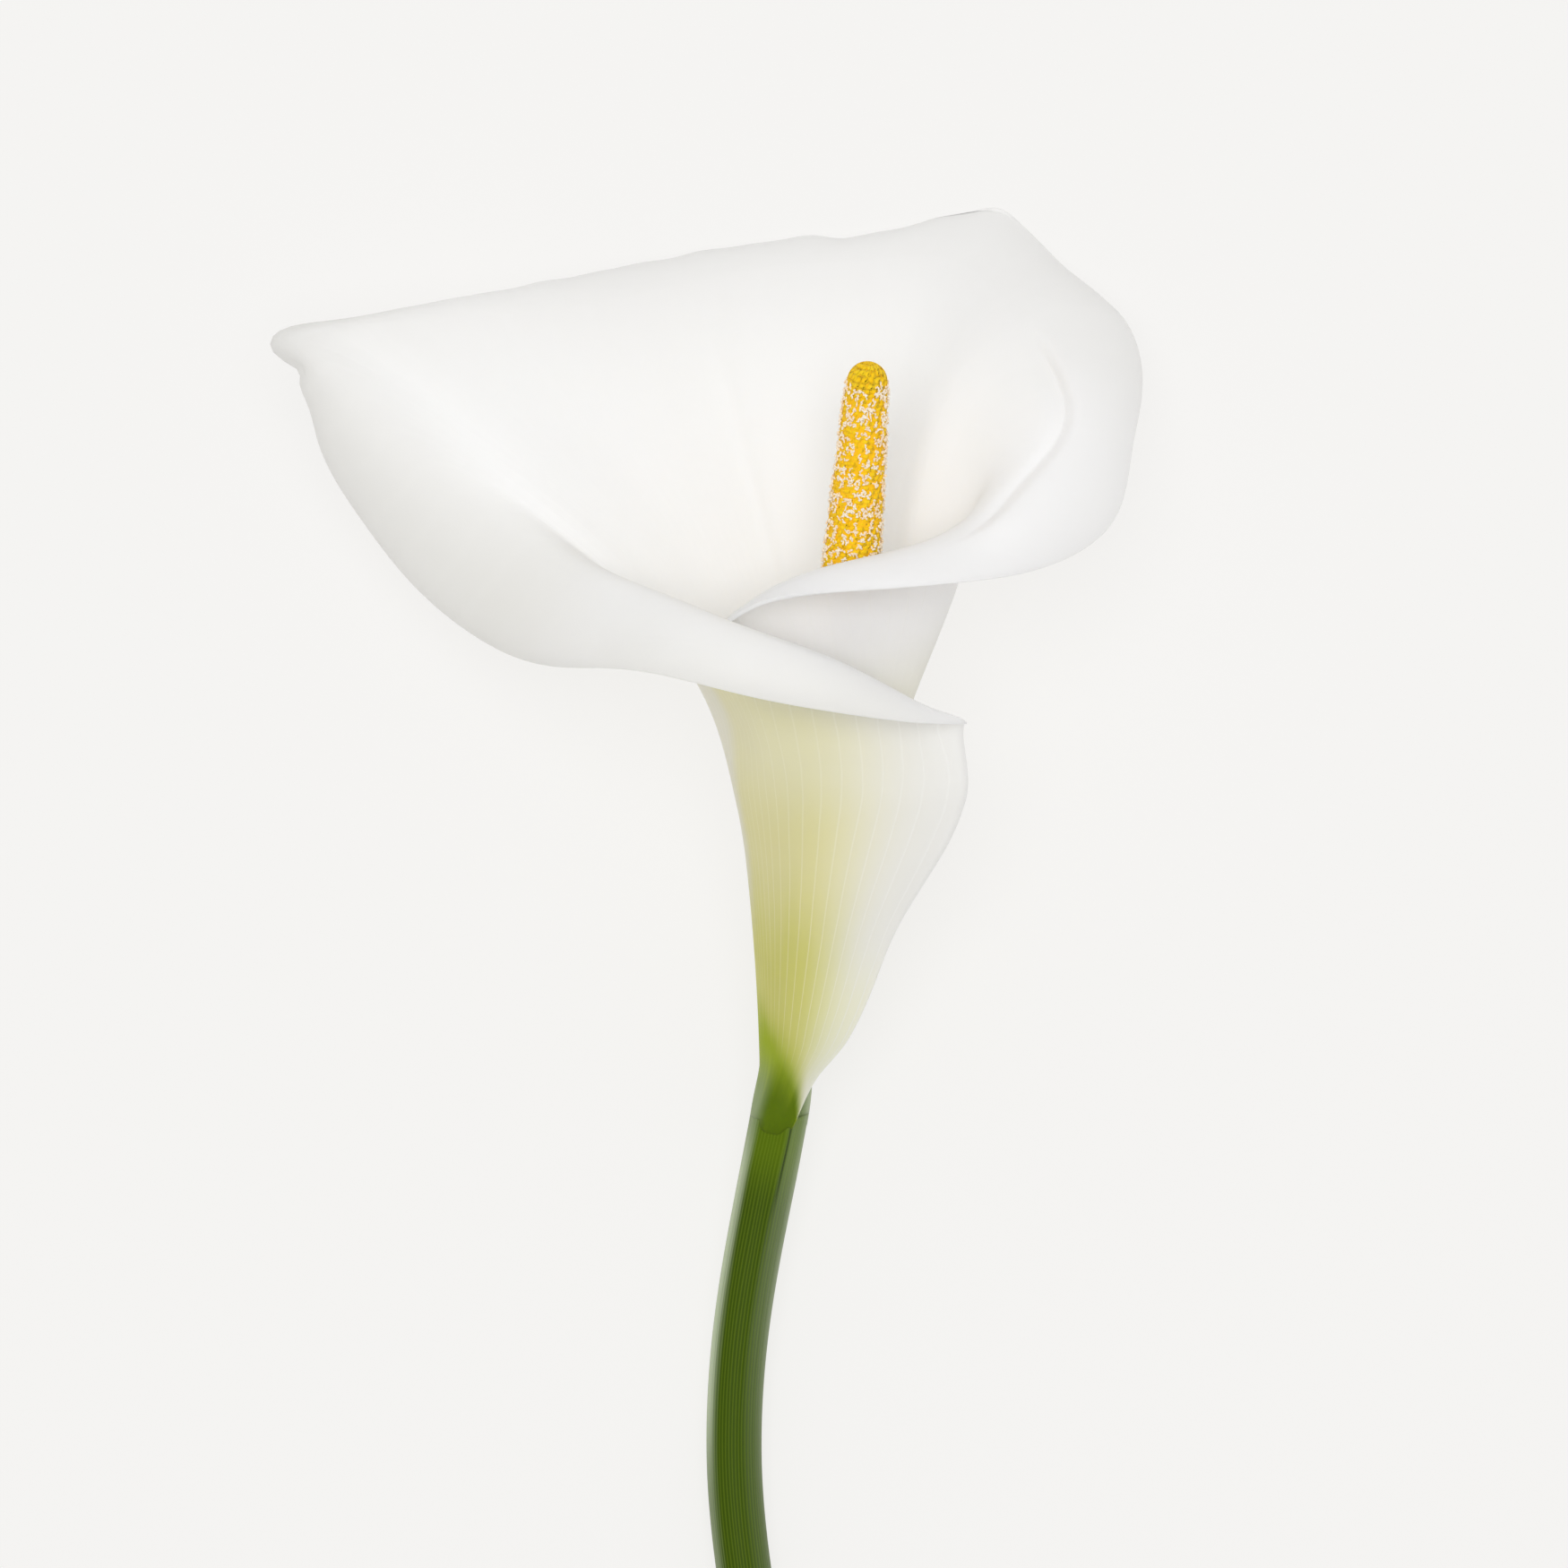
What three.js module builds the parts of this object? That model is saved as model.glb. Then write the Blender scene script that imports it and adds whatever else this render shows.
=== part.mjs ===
// Arum lily flower: one cut bloom lying on the back of its spathe and on the cut end of its stem.
// Millimetres and degrees. X runs across the bloom, Y from the cut stem towards the bloom, Z up.
import * as THREE from "three";
import { mergeVertices } from "three/addons/utils/BufferGeometryUtils.js";

// Where the outline's own origin, the middle of the bloom, lies in the part's frame.
const ORIGIN_X = 10.3;
const ORIGIN_Y = 53.2;
const REST_DEPTH = 12.8;

// Spathe: one sheet, thickest in the middle of the blade.
const SHEET_MARGIN = 0.62;
const SHEET_MIDDLE = 0.95;
const MARGIN_EASE = 8;
const SHEET_COLUMNS = 74;
const TUBE_ROWS = 7;
const BELL_ROWS = 9;
const ROLL_ROWS = 5;

// The funnel's lower part is a tapering tube that leans back to the surface below it.
const TUBE_PITCH = 18;
const TUBE_START = [0.4, -39.4, 0];
const TUBE_FOOT = -6.5;
const TUBE_THROAT = 42;
const TUBE_LEAN = 0.13;
const TUBE_LEAN_FADE = 0.00135;
const TUBE_RADIUS = 3.5;
const TUBE_TAPER = 0.147;
const TUBE_FLARE = 0.005;
const FLARE_START = 30;
const FOOT_WIDENING = 0.3;

// The sheet's outer edge laps over its inner edge at the front of the tube.
const FOOT_OUTER_ANGLE = 302;
const FOOT_INNER_ANGLE = -72;
const FOOT_LENGTH = 11.5;
const FOOT_EASE = 1.6;
const FOOT_SWELL = 0.45;
const FOOT_SWELL_EASE = 3;
const OUTER_LAP_START = 225;
const OUTER_LAP_SWELL = 0.06;
const OUTER_LAP_EASE = 2.5;
const INNER_TUCK_START = -5;
const INNER_TUCK_SPAN = 100;
const INNER_TUCK = 0.85;
const INNER_TUCK_EASE = 1.4;
// How far the outer margin stands out of the tube, by the height up the tube.
const FLAP_HEIGHTS = [-6.5, -4, 0, 5, 13, 22, 31, 38, 43];
const FLAP_REACH = [0.3, 0.8, 2.4, 4.2, 5.8, 7.2, 10.4, 12.5, 12.8];

// The mouth, station by station round the rim from the outer corner to the inner end:
// the angle where the rib leaves the tube, the crest of the roll, the way that the sheet
// runs there (its aim seen from above and its rise), and the free edge beyond the roll.
const RIM = [
  { angle: 335, crest: [24.9, 8.4, 26], aim: 80, rise: 25, edge: [25.2, 8.3, 26.7] },
  { angle: 318, crest: [17.4, 11.5, 31], aim: -50, rise: 60, edge: [18.6, 8.4, 33] },
  { angle: 295, crest: [7.5, 16.4, 36], aim: -80, rise: 70, edge: [6.9, 9.9, 39] },
  { angle: 268, crest: [-1.9, 19.8, 37], aim: -100, rise: 70, edge: [-4.4, 12, 40] },
  { angle: 242, crest: [-11.2, 23.1, 34.5], aim: -115, rise: 62, edge: [-16.2, 14.9, 36.5] },
  { angle: 220, crest: [-20, 26.9, 27.5], aim: -125, rise: 40, edge: [-26.4, 16.2, 24] },
  { angle: 200, crest: [-30, 31.2, 19.5], aim: -128, rise: 22, edge: [-37.7, 18.1, 8.5] },
  { angle: 183, crest: [-40.6, 37.2, 14], aim: -130, rise: 8, edge: [-49.8, 26.1, 2] },
  { angle: 169, crest: [-50.6, 45, 12.5], aim: -135, rise: 4, edge: [-58.7, 36.9, 0.5] },
  { angle: 158, crest: [-58.6, 53.1, 13.5], aim: -145, rise: 4, edge: [-64.2, 48.1, 2.5] },
  { angle: 150, crest: [-63.6, 59, 14.5], aim: -155, rise: 6, edge: [-66.6, 56, 6.5] },
  { angle: 144, crest: [-66.9, 62, 15.5], aim: -180, rise: 5, edge: [-70.8, 61.9, 9.5] },
  { angle: 139, crest: [-63.8, 63, 16], aim: -215, rise: 5, edge: [-65.6, 63.6, 13] },
  { angle: 132, crest: [-52.5, 64.3, 13.5], aim: -238, rise: 0, edge: [-53.1, 65.6, 10] },
  { angle: 122, crest: [-39.4, 65.3, 9], aim: -250, rise: -10, edge: [-39.4, 67.3, 1] },
  { angle: 110, crest: [-25.6, 66.8, 4], aim: -262, rise: -25, edge: [-26.2, 69.8, -9.5] },
  { angle: 97, crest: [-11.9, 70.2, -1.5], aim: -268, rise: -35, edge: [-12.5, 73.9, -13.6] },
  { angle: 82, crest: [1.2, 72.5, -4], aim: -270, rise: -35, edge: [1.9, 76.7, -11.5] },
  { angle: 67, crest: [13.8, 73.3, -4], aim: -278, rise: -35, edge: [16.9, 78.1, -11.8] },
  { angle: 54, crest: [23.1, 73.1, -3], aim: -300, rise: -35, edge: [30, 81, -13.6] },
  { angle: 43, crest: [28.8, 68.9, 3], aim: -320, rise: -25, edge: [38.4, 73.5, -9] },
  { angle: 30, crest: [32.5, 63.1, 10], aim: -335, rise: -10, edge: [47.5, 65.2, -2] },
  { angle: 18, crest: [34.6, 55.6, 15], aim: -342, rise: 5, edge: [50, 56.2, 4] },
  { angle: 5, crest: [34.4, 47.5, 20], aim: -345, rise: 15, edge: [48.4, 46.9, 12] },
  { angle: -10, crest: [31.1, 40.9, 25], aim: -355, rise: 30, edge: [45.6, 36.5, 20] },
  { angle: -27, crest: [25.9, 35.1, 30], aim: -385, rise: 45, edge: [35.6, 29.9, 29] },
  { angle: -45, crest: [15.4, 31, 34], aim: -420, rise: 55, edge: [21.9, 27.5, 37] },
  { angle: -65, crest: [5, 28.8, 33], aim: -445, rise: 60, edge: [7.5, 26.4, 36] },
  { angle: -88, crest: [-3.1, 25.6, 30], aim: -470, rise: 55, edge: [-3.1, 24.9, 32] },
  { angle: -108, crest: [-8.4, 22.1, 26], aim: -480, rise: 50, edge: [-8.6, 21.9, 27] },
];
const TIP_STATION = 11;
const TIP_REACH = 0.17;

// How firmly the ribs keep the tube's direction, and the crest's direction, through the bell.
const THROAT_PULL = 1.15;
const CREST_PULL = 0.9;
const TIP_PULL_LOSS = 0.75;
// The right side of the bell swells out, and so does a little of its lower left.
const RIGHT_SWELL = 3.4;
const RIGHT_SWELL_LATENESS = 1.15;
const RIGHT_SWELL_ANGLE = -10;
const RIGHT_SWELL_SPREAD = 32;
const LEFT_TUCK = 2.9;
const LEFT_TUCK_ANGLE = 200;
const LEFT_TUCK_SPREAD = 35;
const LEFT_TUCK_ONSET = 0.25;
const LEFT_TUCK_FADE = 0.35;
const LEFT_TUCK_END = 0.6;
// A roll that doubles back on itself is held to this lean, and one this straight isn't bent.
const SHARPEST_LEAN = -0.7;
const STRAIGHT_BEND = 1e-3;

// Stem: the middle line from the bloom down to the cut, and the thickness along it.
// The first six points follow what is seen, and the last three are the part out of sight.
const STEM_LINE = [
  [-0.55, -45.9, -2.1],
  [-1.9, -53.1, -4.2],
  [-4.1, -64.4, -6.1],
  [-5.9, -75.6, -7.2],
  [-6.9, -86.9, -7.9],
  [-6.9, -98.1, -8.3],
  [-4.6, -118, -8.6],
  [-1.2, -142, -8.8],
  [4, -186, -8.85],
];
const STEM_TOP_RADIUS = 4.1;
const STEM_WAIST_RADIUS = 3.9;
const STEM_END_RADIUS = 4.05;
const STEM_WAY = [0, 0.3, 1];
const STEM_SIDES = 18;
const STEM_RINGS = 38;
const STEM_CUT_SLANT = 0.35;
// The seat on top of the stem that carries the spathe's foot outside and the spadix on top.
const SEAT_RADIUS = 1.6;
const SEAT_TOP = -2;
const PIECE_GAP = 0.3;

// Spadix: its line from the seat to the rounded top, its thickness by the way along that line,
// and the florets that cover it as raised points on a lattice.
const SPADIX_LINE = [
  [0.2, -40.83, -0.46],
  [3.6, -20, 6.2],
  [6.6, 4, 13.9],
  [9.2, 29.4, 21.6],
  [11.5, 55.6, 29.7],
];
const SPADIX_WAY = [0, 0.04, 0.1, 0.18, 0.3, 0.75, 0.93, 1];
const SPADIX_RADIUS = [1.6, 2.05, 2.6, 3.5, 3.95, 3.9, 3.25, 2.9];
const SPADIX_DOME = 2.9;
const DOME_ROWS = 5;
const DOME_TOP_GAP = 0.6;
const FLORETS_AROUND = 7;
const SPADIX_ROWS = 82;
const FLORET_HEIGHT = 0.5;
const FLORET_FULL_FROM = 6;
const FLORET_LEAST = 0.2;

const SIDES_PER_FLORET = 3;
const FULL_TURN = 2 * Math.PI;
const SMALL_STEP = 1e-3;
const SAME_POINT = 1e-4;

function clamp(x, low, high) {
  return Math.min(Math.max(x, low), high);
}

function smooth(x) {
  const t = clamp(x, 0, 1);
  return t * t * (3 - 2 * t);
}

function bell(x, middle, spread) {
  return Math.exp(-(((x - middle) / spread) ** 2));
}

// A smooth curve through given values: a natural cubic spline.
function curveThrough(places, values) {
  const last = places.length - 1;
  const bend = new Array(last + 1).fill(0);
  const share = new Array(last + 1).fill(0);
  for (let i = 1; i < last; i += 1) {
    const before = places[i] - places[i - 1];
    const after = places[i + 1] - places[i];
    const turn = (values[i + 1] - values[i]) / after - (values[i] - values[i - 1]) / before;
    const weight = 2 * (before + after) - before * share[i - 1];
    share[i] = after / weight;
    bend[i] = (6 * turn - before * bend[i - 1]) / weight;
  }
  for (let i = last - 1; i > 0; i -= 1) {
    bend[i] -= share[i] * bend[i + 1];
  }
  return (x) => {
    let i = 0;
    while (i < last - 1 && x >= places[i + 1]) {
      i += 1;
    }
    const width = places[i + 1] - places[i];
    const a = (places[i + 1] - x) / width;
    const b = (x - places[i]) / width;
    const curved = (a ** 3 - a) * bend[i] + (b ** 3 - b) * bend[i + 1];
    return a * values[i] + b * values[i + 1] + (curved * width * width) / 6;
  };
}

function pointCurve(places, points) {
  const axes = [0, 1, 2].map((axis) => curveThrough(places, points.map((point) => point[axis])));
  return (x) => new THREE.Vector3(axes[0](x), axes[1](x), axes[2](x));
}

// Places along a chain of points, from 0 at its start to 1 at its end.
function chainPlaces(points) {
  const places = [0];
  for (let i = 1; i < points.length; i += 1) {
    const step = Math.hypot(...[0, 1, 2].map((axis) => points[i][axis] - points[i - 1][axis]));
    places.push(places[i - 1] + step);
  }
  const total = places[places.length - 1];
  return places.map((place) => place / total);
}

// The cubic between two points that leaves and arrives along given directions.
function blend(start, startPull, end, endPull, w) {
  const w2 = w * w;
  const w3 = w2 * w;
  return start.clone().multiplyScalar(2 * w3 - 3 * w2 + 1)
    .addScaledVector(startPull, w3 - 2 * w2 + w)
    .addScaledVector(end, 3 * w2 - 2 * w3)
    .addScaledVector(endPull, w3 - w2);
}

const pitch = THREE.MathUtils.degToRad(TUBE_PITCH);
const sideways = new THREE.Vector3(1, 0, 0);
const backwards = new THREE.Vector3(0, Math.sin(pitch), -Math.cos(pitch));
const upTube = new THREE.Vector3(0, Math.cos(pitch), Math.sin(pitch));

const rimMiddles = RIM.map(({ crest, edge }) => [0, 1, 2].map((axis) => (crest[axis] + edge[axis]) / 2));
const rimPlaces = chainPlaces(rimMiddles);
const ribAngle = curveThrough(rimPlaces, RIM.map((station) => station.angle));
const crestAim = curveThrough(rimPlaces, RIM.map((station) => station.aim));
const crestRise = curveThrough(rimPlaces, RIM.map((station) => station.rise));
const crestPoint = pointCurve(rimPlaces, RIM.map((station) => station.crest));
const edgePoint = pointCurve(rimPlaces, RIM.map((station) => station.edge));
const flapReach = curveThrough(FLAP_HEIGHTS, FLAP_REACH);
const tipPlace = rimPlaces[TIP_STATION];
const outerAngle = ribAngle(0);
const innerAngle = ribAngle(1);

function tubeMiddle(height) {
  const lean = TUBE_LEAN * height - TUBE_LEAN_FADE * height * height;
  return new THREE.Vector3(...TUBE_START)
    .addScaledVector(upTube, height)
    .addScaledVector(sideways, lean);
}

// The sheet round the tube: u runs from the outer edge to the inner edge.
function tubePoint(u, height) {
  const topAngle = ribAngle(u);
  const share = (topAngle - innerAngle) / (outerAngle - innerAngle);
  const footAngle = FOOT_INNER_ANGLE + (FOOT_OUTER_ANGLE - FOOT_INNER_ANGLE) * share;
  const up = 1 - (1 - clamp((height - TUBE_FOOT) / FOOT_LENGTH, 0, 1)) ** FOOT_EASE;
  const angle = footAngle + (topAngle - footAngle) * up;
  const plain = TUBE_RADIUS + TUBE_TAPER * Math.max(height, 0)
    + TUBE_FLARE * Math.max(height - FLARE_START, 0) ** 2
    + FOOT_WIDENING * smooth(height / TUBE_FOOT);
  const outer = Math.max((angle - OUTER_LAP_START) / (outerAngle - OUTER_LAP_START), 0);
  const inner = Math.max((INNER_TUCK_START - angle) / INNER_TUCK_SPAN, 0);
  const lap = OUTER_LAP_SWELL * plain * smooth(OUTER_LAP_EASE * outer) * up + flapReach(height) * outer ** 3;
  const foot = FOOT_SWELL * smooth(FOOT_SWELL_EASE * outer) * (1 - up);
  const radius = plain + lap + foot - INNER_TUCK * smooth(INNER_TUCK_EASE * inner);
  const turn = THREE.MathUtils.degToRad(angle);
  return tubeMiddle(height)
    .addScaledVector(sideways, radius * Math.cos(turn))
    .addScaledVector(backwards, radius * Math.sin(turn));
}

function crestDirection(u) {
  const aim = THREE.MathUtils.degToRad(crestAim(u));
  const rise = THREE.MathUtils.degToRad(crestRise(u));
  return new THREE.Vector3(Math.cos(aim) * Math.cos(rise), Math.sin(aim) * Math.cos(rise), Math.sin(rise));
}

// The bell from the throat to the crest of the roll: w runs from 0 to 1.
function bellPoint(u, w) {
  const top = tubePoint(u, TUBE_THROAT);
  const along = top.clone().sub(tubePoint(u, TUBE_THROAT - 1)).normalize();
  const crest = crestPoint(u);
  const reach = crest.distanceTo(top);
  const pull = CREST_PULL - TIP_PULL_LOSS * bell(u, tipPlace, TIP_REACH);
  const point = blend(
    top,
    along.multiplyScalar(reach * THROAT_PULL),
    crest,
    crestDirection(u).multiplyScalar(reach * pull),
    w,
  );
  const angle = ribAngle(u);
  const swell = Math.sin(Math.PI * w ** RIGHT_SWELL_LATENESS) ** 2;
  const right = RIGHT_SWELL * bell(angle, RIGHT_SWELL_ANGLE, RIGHT_SWELL_SPREAD) * swell;
  const low = smooth(w / LEFT_TUCK_ONSET) * smooth((LEFT_TUCK_END - w) / LEFT_TUCK_FADE);
  const left = LEFT_TUCK * bell(angle, LEFT_TUCK_ANGLE, LEFT_TUCK_SPREAD) * low;
  return point.addScaledVector(sideways, right + left);
}

// The roll from its crest to the free edge, close to a circle's arc.
function rollPoint(u, w) {
  const crest = crestPoint(u);
  const edge = edgePoint(u);
  const chord = edge.clone().sub(crest);
  const span = chord.length();
  chord.normalize();
  const start = crestDirection(u);
  const lean = clamp(start.dot(chord), SHARPEST_LEAN, 1);
  const bend = Math.acos(lean);
  const pull = bend < STRAIGHT_BEND ? span : (span * bend) / Math.sin(bend);
  const arrive = chord.multiplyScalar(2 * lean).sub(start).normalize();
  return blend(crest, start.multiplyScalar(pull), edge, arrive.multiplyScalar(pull), w);
}

// The sheet's middle surface: v counts 0 to 1 up the tube, 1 to 2 through the bell,
// and 2 to 3 over the roll.
function spathePoint(u, v) {
  if (v <= 1) {
    return tubePoint(u, TUBE_FOOT + (TUBE_THROAT - TUBE_FOOT) * v);
  }
  return v <= 2 ? bellPoint(u, v - 1) : rollPoint(u, v - 2);
}

function spatheNormal(u, v) {
  const across = spathePoint(Math.min(u + SMALL_STEP, 1), v).sub(spathePoint(Math.max(u - SMALL_STEP, 0), v));
  const along = spathePoint(u, Math.min(v + SMALL_STEP, 3)).sub(spathePoint(u, Math.max(v - SMALL_STEP, 0)));
  return across.cross(along).normalize();
}

function solidFrom(points, triangles) {
  const geometry = new THREE.BufferGeometry();
  const places = points.flatMap((point) => point.toArray());
  geometry.setAttribute("position", new THREE.Float32BufferAttribute(places, 3));
  geometry.setIndex(triangles);
  const merged = mergeVertices(geometry, SAME_POINT);
  merged.computeVertexNormals();
  return merged;
}

function rowPlaces() {
  const places = [];
  for (let i = 0; i < TUBE_ROWS; i += 1) {
    places.push(i / TUBE_ROWS);
  }
  for (let i = 0; i < BELL_ROWS; i += 1) {
    places.push(1 + i / BELL_ROWS);
  }
  for (let i = 0; i <= ROLL_ROWS; i += 1) {
    places.push(2 + i / ROLL_ROWS);
  }
  return places;
}

// One closed sheet: the same triangles on both faces, joined along the four edges.
function buildSpathe() {
  const rows = rowPlaces();
  const faces = [[], []];
  rows.forEach((v) => {
    for (let column = 0; column <= SHEET_COLUMNS; column += 1) {
      const u = column / SHEET_COLUMNS;
      const middle = spathePoint(u, v);
      const normal = spatheNormal(u, v);
      const inBlade = smooth(MARGIN_EASE * u * (1 - u)) * smooth(v) * smooth(3 - v);
      const half = (SHEET_MARGIN + (SHEET_MIDDLE - SHEET_MARGIN) * inBlade) / 2;
      [1, -1].forEach((way, face) => {
        const point = middle.clone().addScaledVector(normal, way * half);
        point.z = Math.max(point.z, -REST_DEPTH);
        faces[face].push(point);
      });
    }
  });
  const width = SHEET_COLUMNS + 1;
  const other = rows.length * width;
  const triangles = [];
  const quad = (a, b, c, d) => triangles.push(a, b, c, a, c, d);
  for (let row = 0; row < rows.length - 1; row += 1) {
    for (let column = 0; column < SHEET_COLUMNS; column += 1) {
      const a = row * width + column;
      const b = a + 1;
      const c = b + width;
      const d = a + width;
      triangles.push(a, b, c, a, c, d);
      triangles.push(other + a, other + c, other + b, other + a, other + d, other + c);
    }
  }
  const lastRow = (rows.length - 1) * width;
  for (let column = 0; column < SHEET_COLUMNS; column += 1) {
    quad(column + 1, column, other + column, other + column + 1);
    quad(lastRow + column, lastRow + column + 1, other + lastRow + column + 1, other + lastRow + column);
  }
  for (let row = 0; row < rows.length - 1; row += 1) {
    const near = row * width;
    const far = near + SHEET_COLUMNS;
    quad(near, near + width, other + near + width, other + near);
    quad(far + width, far, other + far, other + far + width);
  }
  return solidFrom([...faces[0], ...faces[1]], triangles);
}

// Rings joined side to side and closed at both ends by a point. Staggered rings turn by half
// a side from one to the next.
function closeRings(rings, firstPoint, lastPoint, sides) {
  const points = [firstPoint, ...rings.flat(), lastPoint];
  const triangles = [];
  const lastRing = 1 + (rings.length - 1) * sides;
  for (let side = 0; side < sides; side += 1) {
    const next = (side + 1) % sides;
    triangles.push(0, 1 + next, 1 + side);
    triangles.push(points.length - 1, lastRing + side, lastRing + next);
    for (let ring = 0; ring < rings.length - 1; ring += 1) {
      const here = 1 + ring * sides;
      const there = here + sides;
      triangles.push(here + side, here + next, there + side);
      triangles.push(there + side, here + next, there + next);
    }
  }
  return solidFrom(points, triangles);
}

// The directions along and across a line at one place.
function lineFrame(line, place) {
  const ahead = line(Math.min(place + SMALL_STEP, 1));
  const along = ahead.sub(line(Math.max(place - SMALL_STEP, 0))).normalize();
  const across = new THREE.Vector3(0, 0, 1).cross(along).normalize();
  return { along, across, over: along.clone().cross(across) };
}

// The stem is swept from the cut end up to the shoulder, and then narrows to the seat.
function buildStem() {
  const line = pointCurve(chainPlaces(STEM_LINE), STEM_LINE);
  const thickness = curveThrough(STEM_WAY, [STEM_TOP_RADIUS, STEM_WAIST_RADIUS, STEM_END_RADIUS]);
  const ring = (middle, across, over, radius, slant) => {
    const points = [];
    for (let side = STEM_SIDES - 1; side >= 0; side -= 1) {
      const turn = (FULL_TURN * (side + 0.5)) / STEM_SIDES;
      const point = middle.clone()
        .addScaledVector(across, radius * Math.cos(turn))
        .addScaledVector(over, radius * Math.sin(turn))
        .addScaledVector(slant, radius * Math.sin(turn));
      point.z = Math.max(point.z, -REST_DEPTH);
      points.push(point);
    }
    return points;
  };
  const rings = [];
  for (let i = 0; i < STEM_RINGS; i += 1) {
    const place = 1 - i / STEM_RINGS;
    const { along, across, over } = lineFrame(line, place);
    const slant = along.multiplyScalar(STEM_CUT_SLANT * Math.max(1 - i, 0));
    rings.push(ring(line(place), across, over, thickness(place), slant));
  }
  const level = new THREE.Vector3();
  const forwards = backwards.clone().negate();
  const shoulder = tubeMiddle(TUBE_FOOT - PIECE_GAP);
  const seatTop = tubeMiddle(SEAT_TOP);
  rings.push(ring(shoulder, sideways, forwards, STEM_TOP_RADIUS, level));
  rings.push(ring(shoulder, sideways, forwards, SEAT_RADIUS, level));
  rings.push(ring(seatTop, sideways, forwards, SEAT_RADIUS, level));
  return closeRings(rings, line(1), seatTop, STEM_SIDES);
}

// The spadix: every third point of a staggered lattice is raised as a floret.
function buildSpadix() {
  const line = pointCurve(chainPlaces(SPADIX_LINE), SPADIX_LINE);
  const thickness = curveThrough(SPADIX_WAY, SPADIX_RADIUS);
  const sides = FLORETS_AROUND * SIDES_PER_FLORET;
  const total = line(1).distanceTo(line(0));
  const rings = [];
  for (let row = 0; row < SPADIX_ROWS + DOME_ROWS; row += 1) {
    const inDome = Math.max(row - SPADIX_ROWS + 1, 0) / (DOME_ROWS + DOME_TOP_GAP);
    const place = Math.min(row / (SPADIX_ROWS - 1), 1);
    const { along, across, over } = lineFrame(line, place);
    const capTurn = (inDome * Math.PI) / 2;
    const middle = line(place).addScaledVector(along, SPADIX_DOME * Math.sin(capTurn));
    const outer = thickness(place) * Math.cos(capTurn);
    const grown = clamp((place * total) / FLORET_FULL_FROM, FLORET_LEAST, 1);
    const relief = FLORET_HEIGHT * grown * Math.cos(capTurn);
    const points = [];
    for (let side = 0; side < sides; side += 1) {
      const raised = (side - row + 3 * sides) % SIDES_PER_FLORET === 0;
      const radius = raised ? outer : outer - relief;
      const turn = (FULL_TURN * (side + row / 2)) / sides;
      points.push(middle.clone()
        .addScaledVector(across, radius * Math.cos(turn))
        .addScaledVector(over, radius * Math.sin(turn)));
    }
    rings.push(points);
  }
  const { along } = lineFrame(line, 1);
  const top = line(1).addScaledVector(along, SPADIX_DOME);
  return closeRings(rings, line(0), top, sides);
}

function pieceOf(name, geometry, color, roughness) {
  const material = new THREE.MeshStandardMaterial({ color, roughness, metalness: 0 });
  const mesh = new THREE.Mesh(geometry, material);
  mesh.name = name;
  return mesh;
}

const flower = new THREE.Group();
flower.add(pieceOf("stem", buildStem(), 0x4c6b14, 0.5));
flower.add(pieceOf("spathe", buildSpathe(), 0xf1f0ec, 0.45));
flower.add(pieceOf("spadix", buildSpadix(), 0xf4c425, 0.8));
flower.position.set(ORIGIN_X, ORIGIN_Y, REST_DEPTH);

export default flower;
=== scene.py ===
import math

import bmesh
import bpy
import numpy as np
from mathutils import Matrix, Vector


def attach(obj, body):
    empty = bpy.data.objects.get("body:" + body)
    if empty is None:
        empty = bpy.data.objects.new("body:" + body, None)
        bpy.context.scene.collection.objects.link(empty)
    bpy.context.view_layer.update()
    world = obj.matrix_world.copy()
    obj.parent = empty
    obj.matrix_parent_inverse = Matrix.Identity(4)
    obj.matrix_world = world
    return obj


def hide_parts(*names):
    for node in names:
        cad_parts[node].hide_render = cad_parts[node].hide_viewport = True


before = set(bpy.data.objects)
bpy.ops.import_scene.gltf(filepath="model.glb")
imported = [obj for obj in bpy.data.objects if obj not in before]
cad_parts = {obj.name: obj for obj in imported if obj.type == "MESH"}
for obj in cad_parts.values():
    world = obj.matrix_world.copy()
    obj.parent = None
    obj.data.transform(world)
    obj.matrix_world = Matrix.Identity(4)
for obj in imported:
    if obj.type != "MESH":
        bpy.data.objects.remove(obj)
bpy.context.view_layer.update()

# The stem: a solid, smooth, fleshy stalk, grown in one with the flower, with fine lines along it and
# a pale wax bloom down its sides, whose colour also holds painted highlight. It was cut off slantwise at
# its lower end, and its top narrows to the seat that carries the spathe and the spadix. Sizes are in
# millimetres.
MM = 0.001
FLOWER_ORIGIN = np.array([10.3, 53.2, 12.8])
TUBE_START = np.array([0.4, -39.4, 0.0])
TUBE_PITCH = math.radians(18)
TUBE_LEAN = 0.13
TUBE_LEAN_FADE = 0.00135
TUBE_FOOT = -6.5
STEM_LINE = [
    (-0.55, -45.9, -2.1),
    (-1.9, -53.1, -4.2),
    (-4.1, -64.4, -6.1),
    (-5.9, -75.6, -7.2),
    (-6.9, -86.9, -7.9),
    (-6.9, -98.1, -8.3),
    (-4.6, -118, -8.6),
    (-1.2, -142, -8.8),
    (4, -186, -8.85),
]
STEM_TOP_RADIUS = 4.1
STEM_WAIST = 0.3
STEM_WAIST_RADIUS = 3.9
STEM_END_RADIUS = 4.05
STEM_CUT_SLANT = 0.35
STEM_CUT_REACH = 38
CUT_RIM = 0.35
CUT_INSET = 0.5
CUT_DEPTH = 0.12
STEM_COLUMNS = 144
STEM_ROWS = 200
SHOULDER_START = 0.93
SHOULDER_GAP = 0.3
SEAT_RADIUS = 1.6
SEAT_TOP = -2
RIDGE_PLACE = 0.442
RIDGE_SLOPE = 0.03
RIDGE_DROP = 0.009
RIDGE_HEIGHT = 0.5
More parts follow.
